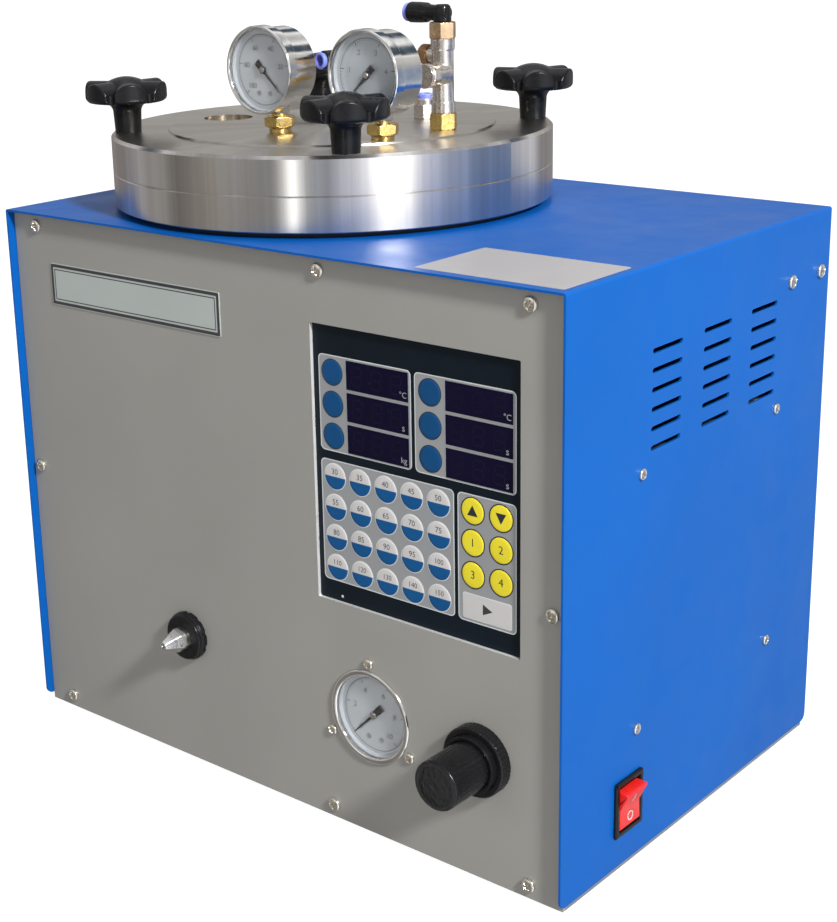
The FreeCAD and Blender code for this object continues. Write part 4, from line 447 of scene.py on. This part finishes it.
for name, skin in SKINS.items():
    dress(name, skin, EDGES.get(name, USUAL_EDGE))
print("dressed", len(SKINS), "solids, left", sorted(set(solids) - set(SKINS)))

# %% [markdown]
# Some solids show two finishes. The lid's top is duller than its rim, the cross fitting ends in a
# brass nut, the regulator knob's end face is pitted, and the panel's keypad window shows bare cut
# metal. The finish is picked face by face, from where the face lies and which way it looks.

# %% faces with a second finish
TOP_DEPTH, NUT_HEIGHT, KNOB_END = 1.2 * MM, 8.8 * MM, 2.0 * MM
PANEL_END = 10 * MM
FACES_UP, FACES_FRONT, FACES_ASIDE = 0.5, -0.9, 0.3


def second_finish(name, skin, chosen):
    mesh = solids[name].data
    mesh.materials.append(skin)
    slot = len(mesh.materials) - 1
    count = 0
    for face in mesh.polygons:
        if chosen(face.center, face.normal):
            face.material_index = slot
            count += 1
    print(name, skin.name, count, "faces")


pad_low, pad_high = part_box("keypad_overlay")
panel_low, panel_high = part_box("front_panel")
knob_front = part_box("regulator_knob")[0].y
tee_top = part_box("tee_body")[1].z
second_finish("lid", turned_top, lambda c, n: n.z > FACES_UP and c.z > lid_high.z - TOP_DEPTH)
second_finish("tee_body", nut_brass, lambda c, n: c.z > tee_top - NUT_HEIGHT)
second_finish("regulator_knob", pitted,
              lambda c, n: n.y < FACES_FRONT and c.y < knob_front + KNOB_END)
second_finish("front_panel", cut_edge,
              lambda c, n: abs(n.y) < FACES_ASIDE and pad_low.x < c.x < pad_high.x
              and pad_low.z < c.z < pad_high.z and abs(c.z - panel_high.z) > PANEL_END)

# %% [markdown]
# Prints, plates and buttons are thin raised shapes on a flat face. It is easiest to draw them
# flat in millimetres, and let a frame of reference carry them to their face. So each place has a
# matrix: its corner, its right and its up, and everything on it is drawn in that plane.

# %% flat places and outlines
CORNER_STEPS = 5


def face_plane(corner, right, up):
    right, up = Vector(right).normalized(), Vector(up).normalized()
    turn = Matrix((right, up, right.cross(up))).transposed().to_4x4()
    return Matrix.Translation(corner) @ turn @ Matrix.Scale(MM, 4)


def box_line(x, y, w, h, r=0.0):
    if not r:
        return [(x + sx * w / 2, y + sy * h / 2) for sx, sy in ((-1, -1), (1, -1), (1, 1), (-1, 1))]
    points = []
    for quarter, (sx, sy) in enumerate(((1, -1), (1, 1), (-1, 1), (-1, -1))):
        for k in range(CORNER_STEPS + 1):
            a = math.radians(-90 + 90 * quarter + 90 * k / CORNER_STEPS)
            points.append((x + sx * (w / 2 - r) + r * math.cos(a), y + sy * (h / 2 - r) + r * math.sin(a)))
    return points


def round_line(x, y, r, steps=40):
    turns = [math.radians(360 * k / steps) for k in range(steps)]
    return [(x + r * math.cos(a), y + r * math.sin(a)) for a in turns]


# %% a sheet of prints
class Print:
    """Thin shapes drawn on one plane, kept as one mesh with a finish per shape."""

    DOME = ((1.0, 0.0), (0.985, 0.45), (0.93, 0.78), (0.7, 0.95), (0.4, 1.0))

    def __init__(self, plane):
        self.plane, self.mesh, self.skins = plane, bmesh.new(), []

    def slot(self, skin):
        if skin not in self.skins:
            self.skins.append(skin)
        return self.skins.index(skin)

    def row(self, line, height):
        return [self.mesh.verts.new(self.plane @ Vector((x, y, height))) for x, y in line]

    def wall(self, a, b, skin):
        for k in range(len(a)):
            j = (k + 1) % len(a)
            self.mesh.faces.new((a[k], a[j], b[j], b[k])).material_index = self.slot(skin)

    def slab(self, line, base, top, skin):
        foot, crown = self.row(line, base), self.row(line, top)
        self.mesh.faces.new(crown).material_index = self.slot(skin)
        self.wall(foot, crown, skin)

    def band(self, outer, inner, base, top, skin):
        rows = [self.row(outer, base), self.row(outer, top), self.row(inner, top), self.row(inner, base)]
        for a, b in zip(rows, rows[1:]):
            self.wall(a, b, skin)

    def button(self, x, y, r, base, height, skin, lower=None, steps=32):
        rows = [self.row(round_line(x, y, r * share, steps), base + height * lift)
                for share, lift in self.DOME]
        centre = self.mesh.verts.new(self.plane @ Vector((x, y, base + height)))
        for k in range(steps):
            j = (k + 1) % steps
            paint = self.slot(lower if lower and k >= steps / 2 else skin)
            for a, b in zip(rows, rows[1:]):
                self.mesh.faces.new((a[k], a[j], b[j], b[k])).material_index = paint
            self.mesh.faces.new((rows[-1][k], rows[-1][j], centre)).material_index = paint

    def words(self, text, x, y, size, base, top, skin):
        curve = bpy.data.curves.new("words", "FONT")
        curve.body, curve.size = text, size
        curve.align_x, curve.align_y = "CENTER", "CENTER"
        curve.resolution_u = 3
        curve.extrude = (top - base) / 2
        held = put("words", curve)
        bpy.context.view_layer.update()
        flat = bpy.data.meshes.new_from_object(held.evaluated_get(bpy.context.evaluated_depsgraph_get()))
        flat.transform(self.plane @ Matrix.Translation((x, y, (top + base) / 2)))
        before = len(self.mesh.faces)
        self.mesh.from_mesh(flat)
        self.mesh.faces.ensure_lookup_table()
        for face in self.mesh.faces[before:]:
            face.material_index = self.slot(skin)
        bpy.data.objects.remove(held)
        bpy.data.curves.remove(curve)
        bpy.data.meshes.remove(flat)

    def piece(self, name, body, slot, smooth_below=None):
        bmesh.ops.recalc_face_normals(self.mesh, faces=self.mesh.faces)
        data = bpy.data.meshes.new(name)
        self.mesh.to_mesh(data)
        self.mesh.free()
        for skin in self.skins:
            data.materials.append(skin)
        if smooth_below:
            data.shade_smooth()
            data.set_sharp_from_angle(angle=math.radians(smooth_below))
        made = put(name, data)
        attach(made, body)
        print(name, len(data.polygons), "faces")
        return made


panel_x = (panel_low.x + panel_high.x) / 2
panel_plane = face_plane((panel_x, panel_low.y, panel_low.z), (1, 0, 0), (0, 0, 1))
overlay_plane = face_plane((panel_x, pad_low.y, panel_low.z), (1, 0, 0), (0, 0, 1))
print("panel front at y", round(panel_low.y, 4), "overlay at", round(pad_low.y, 4))

# %% [markdown]
# The keypad is one printed film: near black, with four grey blocks that have pale outlines. Its
# keys are low bubbles pressed into the film, so each is a shallow dome of about a quarter of a
# millimetre, and not a printed circle. Blocks and keys stand on a film that lies behind the panel.
# Places are in millimetres, across from the panel's middle and up from its lower edge.

# %% keypad blocks
BLOCKS = [(40.7, 100.3, 209.4, 260.1), (102.5, 162.9, 209.4, 260.1),
          (40.4, 126.0, 138.6, 204.8), (128.2, 163.0, 138.6, 204.8)]
BLOCK_LINE = 0.5
BLOCK_R = 2.6
blocks = Print(overlay_plane)
for x0, x1, z0, z1 in BLOCKS:
    x, z, w, h = (x0 + x1) / 2, (z0 + z1) / 2, x1 - x0, z1 - z0
    inside = box_line(x, z, w - 2 * BLOCK_LINE, h - 2 * BLOCK_LINE, BLOCK_R - 0.4)
    blocks.band(box_line(x, z, w, h, BLOCK_R), inside, 0, 0.09, print_line)
    blocks.slab(inside, 0, 0.06, print_grey)
blocks.piece("keypad_blocks", "cabinet", "keypad")

# %% number keys
KEY_X = [49.6, 66.3, 83.1, 99.7, 116.5]
KEY_Z = [195.9, 179.3, 162.8, 146.3]
KEY_R = 6.95
KEY_RING = (0.05, 0.12)
KEY_DOME = (0.08, 0.28)
KEY_MARK = (0.30, 0.38)
NUMBER_RAISE = 2.6
TWO_DIGITS, THREE_DIGITS = 4.3, 3.9
SMOOTH_KEYS = 40


def key_number(row, column):
    """30 to 100 in fives over three rows, then 110 to 150 in tens."""
    return 30 + 5 * (row * 5 + column) if row < 3 else 110 + 10 * column


keys = Print(overlay_plane)
for row, z in enumerate(KEY_Z):
    for column, x in enumerate(KEY_X):
        number = key_number(row, column)
        keys.band(round_line(x, z, KEY_R + 0.35), round_line(x, z, KEY_R - 0.1), *KEY_RING, print_line)
        keys.button(x, z, KEY_R, *KEY_DOME, print_white, print_key_blue)
        size = TWO_DIGITS if number < 100 else THREE_DIGITS
        keys.words(str(number), x, z + NUMBER_RAISE, size, *KEY_MARK, print_ink)
keys.piece("number_keys", "cabinet", "keypad", SMOOTH_KEYS)

# %% yellow and blue keys
YELLOW_X, YELLOW_Z = (137.3, 154.1), (196.4, 180.1, 163.5)
YELLOW_R, YELLOW_RING = KEY_R - 0.35, (0.05, 0.14)
BLUE_X, BLUE_Z = (49.6, 112.0), (251.2, 234.5, 217.7)
BLUE_R, BLUE_DOME = KEY_R - 0.4, (0.08, 0.26)
ARROW = [(-3.1, -2.4), (3.1, -2.4), (0, 3.0)]
ARROW_MARK = (0.3, 0.4)
YELLOW_NUMBER = 6.0
others = Print(overlay_plane)
for x in YELLOW_X:
    for z in YELLOW_Z:
        others.band(round_line(x, z, KEY_R + 0.25), round_line(x, z, YELLOW_R), *YELLOW_RING, print_dark)
        others.button(x, z, YELLOW_R, *KEY_DOME, print_yellow)
for x, way in zip(YELLOW_X, (1, -1)):
    others.slab([(x + way * px, YELLOW_Z[0] + way * py) for px, py in ARROW], *ARROW_MARK, print_dark)
for count, (z, x) in enumerate([(z, x) for z in YELLOW_Z[1:] for x in YELLOW_X], 1):
    others.words(str(count), x, z, YELLOW_NUMBER, *KEY_MARK, print_dark)
for x in BLUE_X:
    for z in BLUE_Z:
        others.band(round_line(x, z, KEY_R + 0.1), round_line(x, z, KEY_R - 0.5), *KEY_RING, print_dark)
        others.button(x, z, BLUE_R, *BLUE_DOME, print_blue)

# %% the long key
LONG_KEY, LONG_W, LONG_H = (145.7, 147.0), 28.4, 12.4
LONG_BASE, LONG_RIM, LONG_TOP, LONG_MARK = 0.05, 0.16, 0.24, 0.3
LONG_ARROW = [(143.2, 144.2), (148.9, 147.0), (143.2, 149.8)]
others.band(box_line(*LONG_KEY, LONG_W + 1.0, LONG_H + 1.0, 1.2),
            box_line(*LONG_KEY, LONG_W - 0.2, LONG_H - 0.2, 0.8), LONG_BASE, LONG_RIM, print_line)
others.slab(box_line(*LONG_KEY, LONG_W, LONG_H, 0.9), LONG_BASE, LONG_TOP, print_white)
others.slab(LONG_ARROW, LONG_TOP, LONG_MARK, print_ink)
others.piece("function_keys", "cabinet", "keypad", SMOOTH_KEYS)

# %% [markdown]
# The six displays are dark windows in the film. A narrow grey rim closes each, and a small unit
# stands in its lower right corner. The windows are unlit, so their segments show only as a
# slightly lighter shade under the glass. An "s" has no tall stroke, so it is set larger.

# %% displays
DISPLAY_X, DISPLAY_Z = (78.8, 141.2), (251.2, 234.5, 217.8)
DISPLAY_W, DISPLAY_H = 39.7, 15.0
DIGIT_PITCH, DIGIT_SHIFT, SLANT = 12.5, -0.4, 0.08
UNITS = {95.4: ("°C", "s", "kg"), 157.8: ("°C", "s", "s")}
UNIT_DROP, TALL_UNIT, SHORT_UNIT = 4.4, 4.3, 5.2
GLASS, RIM, SEGMENT, UNIT_MARK = (0.05, 0.1), (0.05, 0.13), (0.1, 0.105), (0.1, 0.16)
SEGMENT_LONG, SEGMENT_SHORT, SEGMENT_WIDE = 5.0, 3.4, 0.9
LAMP_DOT = (52.2, 130.6, 0.8)
frames = Print(overlay_plane)


def digit(x, z):
    for y in (-4.6, 0, 4.6):
        frames.slab(box_line(x + y * SLANT, z + y, SEGMENT_LONG, SEGMENT_WIDE), *SEGMENT, display_segment)
    for side in (-3.1, 3.1):
        for y in (-2.3, 2.3):
            upright = box_line(x + side + y * SLANT, z + y, SEGMENT_WIDE, SEGMENT_SHORT)
            frames.slab(upright, *SEGMENT, display_segment)


for x in DISPLAY_X:
    for z in DISPLAY_Z:
        frames.slab(box_line(x, z, DISPLAY_W, DISPLAY_H, 0.3), *GLASS, display_glass)
        for k in (-1, 0, 1):
            digit(x + DIGIT_PITCH * k + DIGIT_SHIFT, z)
        frames.band(box_line(x, z, DISPLAY_W + 1.2, DISPLAY_H + 1.2, 0.6),
                    box_line(x, z, DISPLAY_W + 0.4, DISPLAY_H + 0.4, 0.3), *RIM, print_grey)
for x, units in UNITS.items():
    for z, unit in zip(DISPLAY_Z, units):
        size = SHORT_UNIT if unit == "s" else TALL_UNIT
        frames.words(unit, x, z - UNIT_DROP, size, *UNIT_MARK, print_grey)
frames.button(*LAMP_DOT, 0, 0.15, print_white, steps=12)
frames.piece("display_frames", "cabinet", "keypad")

# %% [markdown]
# Two plain plates remain: a pale one with a dark double line on the panel, and a pale film on
# the top. Both are bare. The lines are narrow raised bands, so they hold up when seen close.

# %% bare plates
BADGE = (-94.3, 270.65, 136.6, 24.3)
BADGE_LINES = ((0.5, 1.7), (3.3, 0.5))
LINE_PROUD, FILM_THICK = 0.08, 0.12
LABEL = (146.7, -94.8, 84.9, 56.2)
badge = Print(panel_plane)
plate_top = (panel_low.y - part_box("badge_plate")[0].y) / MM
x, z, w, h = BADGE
for inset, width in BADGE_LINES:
    badge.band(box_line(x, z, w - 2 * inset, h - 2 * inset, 0.5),
               box_line(x, z, w - 2 * (inset + width), h - 2 * (inset + width), 0.3),
               plate_top, plate_top + LINE_PROUD, print_ink)
badge.piece("badge_lines", "cabinet", "white_plate")
cover_low, cover_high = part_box("wrap_cover")
middle_y = (cover_low.y + cover_high.y) / 2
label = Print(face_plane((panel_x, middle_y, cover_high.z), (1, 0, 0), (0, 1, 0)))
label.slab(box_line(*LABEL, 1.5), 0, FILM_THICK, label_film)
label.piece("top_label", "cabinet", "white_plate")

# %% [markdown]
# A gauge face is a printed disc: a fine arc, long and short strokes over three quarters of a
# turn, plain numbers and two grey spots. Strokes are drawn by angle, so one routine serves all
# three faces. Reaches are shares of the face's radius, and strokes have their half width in mm.

# %% gauge faces
DIAL_SINK = 2.0 * MM
DIAL_SWEEP, DIAL_STEPS = 270, 50
INK = (0, 0.04)
LONG_FROM, SHORT_FROM, STROKES_TO = 0.80, 0.86, 0.93
LONG_HALF, SHORT_HALF = 0.24, 0.11
ARC_OUT, ARC_IN = 0.935, 0.92
NUMBERS_AT, NUMBER_SIZE = 0.62, 0.2
SPOT_ACROSS, SPOT_DOWN, SPOT_R = 0.2, 0.62, 0.075


def stroke(face, a, inner, outer, half):
    c, s = math.cos(a), math.sin(a)
    face.slab([(c * inner - s * half, s * inner + c * half), (c * inner + s * half, s * inner - c * half),
               (c * outer + s * half, s * outer - c * half), (c * outer - s * half, s * outer + c * half)],
              *INK, print_ink)


def gauge_face(dial, name, body, r, numbers, start=225, sweep=-DIAL_SWEEP):
    box_low, box_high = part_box(dial)
    middle = ((box_low.x + box_high.x) / 2, box_low.y + DIAL_SINK, (box_low.z + box_high.z) / 2)
    face = Print(face_plane(middle, (1, 0, 0), (0, 0, 1)))
    gaps = len(numbers) - 1
    for k in range(DIAL_STEPS + 1):
        long = k % (DIAL_STEPS // gaps) == 0
        a = math.radians(start + sweep * k / DIAL_STEPS)
        inner, half = (LONG_FROM, LONG_HALF) if long else (SHORT_FROM, SHORT_HALF)
        stroke(face, a, r * inner, r * STROKES_TO, half)
    for k, number in enumerate(numbers):
        a = math.radians(start + sweep * k / gaps)
        face.words(number, r * NUMBERS_AT * math.cos(a), r * NUMBERS_AT * math.sin(a), r * NUMBER_SIZE,
                   *INK, print_ink)
    face.band(round_line(0, 0, r * ARC_OUT, 64), round_line(0, 0, r * ARC_IN, 64), *INK, print_ink)
    for side in (-1, 1):
        spot = round_line(side * r * SPOT_ACROSS, -r * SPOT_DOWN, r * SPOT_R, 16)
        face.slab(spot, 0, 0.05, print_grey)
    face.piece(name, body, "dial")


gauge_face("panel_gauge_dial", "panel_face", "cabinet", 22.0, ["0", "2", "4", "6", "8", "10"])
gauge_face("vacuum_gauge_dial", "vacuum_face", "lid", 20.5, ["0", "20", "40", "60", "80", "100"],
           start=-45, sweep=DIAL_SWEEP)
gauge_face("pressure_gauge_dial", "pressure_face", "lid", 20.5, ["0", "1", "2", "3", "4", "5"])

# %% [markdown]
# A needle turns under a small bright cap. The cap is a separate turned part on the same shaft,
# so it is made here as a little dome that rides on the needle and covers its hub.

# %% needle caps
CAP_GAP = 0.1 * MM
CAP_HEIGHT = 0.35


def cap(name, body, r):
    pivot = pivots[body]
    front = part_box(body)[0].y + CAP_GAP
    made = Print(face_plane((pivot.x, front, pivot.z), (1, 0, 0), (0, 0, 1)))
    made.button(0, 0, r, 0, CAP_HEIGHT, machined, steps=24)
    made.piece(name, body, "steel", SMOOTH_KEYS)


cap("panel_needle_cap", "panel_gauge_needle", 1.9)
cap("vacuum_needle_cap", "vacuum_gauge_needle", 1.7)
cap("pressure_needle_cap", "pressure_gauge_needle", 1.7)

# %% [markdown]
# Pan-head screws have a cross recess, and the way it darkens in the middle is what makes them
# read as screws. A head is drawn as rings of points on a dome, and the points inside the cross
# are pushed down. The heads replace the plain screws of the CAD model.

# %% screw heads
HEAD_RINGS = (1.0, 1.0, 0.97, 0.88, 0.76, 0.64, 0.55, 0.46, 0.37, 0.28, 0.20, 0.12)
HEAD_STEPS = 48
SHOULDER = 0.55
CROSS_REACH, CROSS_HALF, CROSS_SINK, CROSS_BOTTOM = 0.6, 0.12, 0.5, 0.42
SMOOTH_HEADS = 35


def head_lift(share, x, y, spin):
    """Height of a point over the face, where the head's radius and height are 1."""
    lift = SHOULDER + (1 - SHOULDER) * math.sqrt(max(0, 1 - share * share))
    along = abs(x * math.cos(spin) + y * math.sin(spin))
    across = abs(-x * math.sin(spin) + y * math.cos(spin))
    if share < CROSS_REACH and min(along, across) < CROSS_HALF:
        lift -= CROSS_SINK * (1 - share * 0.9)
    return lift


def heads(name, places, out, replaced=None):
    out, up = Vector(out), Vector((0, 0, 1))
    side = up.cross(out).normalized()
    made = Print(Matrix.Identity(4))
    for spot, r, h, spin in places:
        rings = []
        for share in HEAD_RINGS:
            ring = []
            for x, y in round_line(0, 0, share, HEAD_STEPS):
                lift = h * head_lift(share, x, y, spin) if rings else 0
                ring.append(made.mesh.verts.new(spot + side * x * r + up * y * r + out * lift))
            rings.append(ring)
        centre = made.mesh.verts.new(spot + out * h * CROSS_BOTTOM)
        for a, b in zip(rings, rings[1:]):
            made.wall(a, b, bright_screw)
        for k in range(HEAD_STEPS):
            made.mesh.faces.new((rings[-1][k], rings[-1][(k + 1) % HEAD_STEPS], centre))
    piece = made.piece(name, "cabinet", "screw_steel", SMOOTH_HEADS)
    if replaced:
        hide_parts(replaced)


# %% screws in the panel
M4, M3 = (3.75 * MM, 2.6 * MM), (2.9 * MM, 2.1 * MM)
EDGE_X, OFF_X, SIDE_X = 172.4, 44.3, 185.6
LOW_Z, MIDDLE_Z, TOP_Z = 7.8, 155.8, 303.1
GAUGE_SCREWS_R = 30.4
panel_m4 = [(x, z) for x in (-EDGE_X, EDGE_X, OFF_X) for z in (LOW_Z, TOP_Z)]
panel_m4 += [(-SIDE_X, MIDDLE_Z), (SIDE_X, MIDDLE_Z)]
gauge_low, gauge_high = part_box("panel_gauge_case")
gauge_x = ((gauge_low.x + gauge_high.x) / 2 - panel_x) / MM
gauge_z = ((gauge_low.z + gauge_high.z) / 2 - panel_low.z) / MM
spots = [(panel_plane @ Vector((x, z, 0)), *M4, 0.4 * k) for k, (x, z) in enumerate(panel_m4)]
for k in range(3):
    a = math.radians(90 + 120 * k)
    place = Vector((gauge_x + GAUGE_SCREWS_R * math.cos(a), gauge_z + GAUGE_SCREWS_R * math.sin(a), 0))
    spots.append((panel_plane @ place, *M3, 0.7 * k))
heads("panel_screw_heads", spots, (0, -1, 0), "panel_screws")

# %% screws in the sides
COVER_SCREWS = [(84.0, 277.8), (117.2, 277.8)]
PLATE_Y, PLATE_Z, PLATE_PITCH = 5.0, 142.9, 135.0
plate_screws = [(PLATE_Y + a * PLATE_PITCH / 2, PLATE_Z + b * PLATE_PITCH / 2)
                for b in (-1, 1) for a in (-1, 1)]


def side_spot(x, y, z):
    return Vector((x, middle_y + y * MM, panel_low.z + z * MM))


right_spots = [(side_spot(cover_high.x, y, z), *M4, 0.5) for y, z in COVER_SCREWS]
right_spots += [(side_spot(cover_high.x, y, z), *M3, 0.9 * k) for k, (y, z) in enumerate(plate_screws)]
heads("right_screw_heads", right_spots, (1, 0, 0), "side_screws")
left_spots = [(side_spot(cover_low.x, y, z), *M4, 0.2) for y, z in COVER_SCREWS]
heads("left_screw_heads", left_spots, (-1, 0, 0))

# %% [markdown]
# The rocker carries the two marks every such switch has, a ring for off and a stroke for on.
# They are moulded in white on the two slopes of the paddle, so their planes lean with it.

# %% rocker marks
TILT = math.radians(12)
REACH = Vector((math.cos(TILT), 0, -math.sin(TILT)))
UP = Vector((math.sin(TILT), 0, math.cos(TILT)))
CREST, DISH, HALF = 5.4 * MM, 2.4 * MM, 10.0 * MM
PROUD = 0.02 * MM
MARK_OUT, MARK_DOWN = 0.55, 0.45
MARK = (-0.1, 0.1)
for sign, name in ((-1, "off_mark"), (1, "on_mark")):
    slope = (UP * sign * HALF + REACH * DISH).normalized() * sign
    out = UP * sign * HALF * MARK_OUT
    spot = pivots["rocker_paddle"] + out + REACH * (CREST - DISH * MARK_DOWN + PROUD)
    mark = Print(face_plane(spot, (0, 1, 0), slope))
    if sign < 0:
        mark.band(round_line(0, 0, 2.6), round_line(0, 0, 1.9), *MARK, print_white)
    else:
        mark.slab(box_line(0, 0, 0.8, 5.0), *MARK, print_white)
    mark.piece(name, "rocker_paddle", "red_plastic")

# %% [markdown]
# The floor is a pale sheet, like the paper of a product photograph. It glows for the camera, so
# it reads as white, and hardly at all for everything else. It catches a soft shadow, and metal
# doesn't mirror it, because a mirrored floor would cut the lid's bars in half.

# %% floor
FLOOR_HALF = 60.0
GLOW_FOR_OTHERS, GLOW_FOR_CAMERA = 0.06, 0.95
paper = finish("paper", (0.25, 0.25, 0.25), 0.85, drift=0.01, bump=0.0, Emission_Color=(1, 1, 1, 1))
tree = paper.node_tree
seen = node(tree, "ShaderNodeLightPath").outputs["Is Camera Ray"]
glow = spread(tree, seen, GLOW_FOR_OTHERS, GLOW_FOR_CAMERA, 0, 1)
tree.links.new(glow, tree.nodes["Principled BSDF"].inputs["Emission Strength"])
ground = bmesh.new()
bmesh.ops.create_grid(ground, x_segments=2, y_segments=2, size=FLOOR_HALF)
data = bpy.data.meshes.new("floor")
ground.to_mesh(data)
ground.free()
data.materials.append(paper)
floor = put("floor", data)
floor.visible_glossy = False
print("floor at z 0")

# %% view transform
bpy.context.scene.view_settings.view_transform = "Standard"
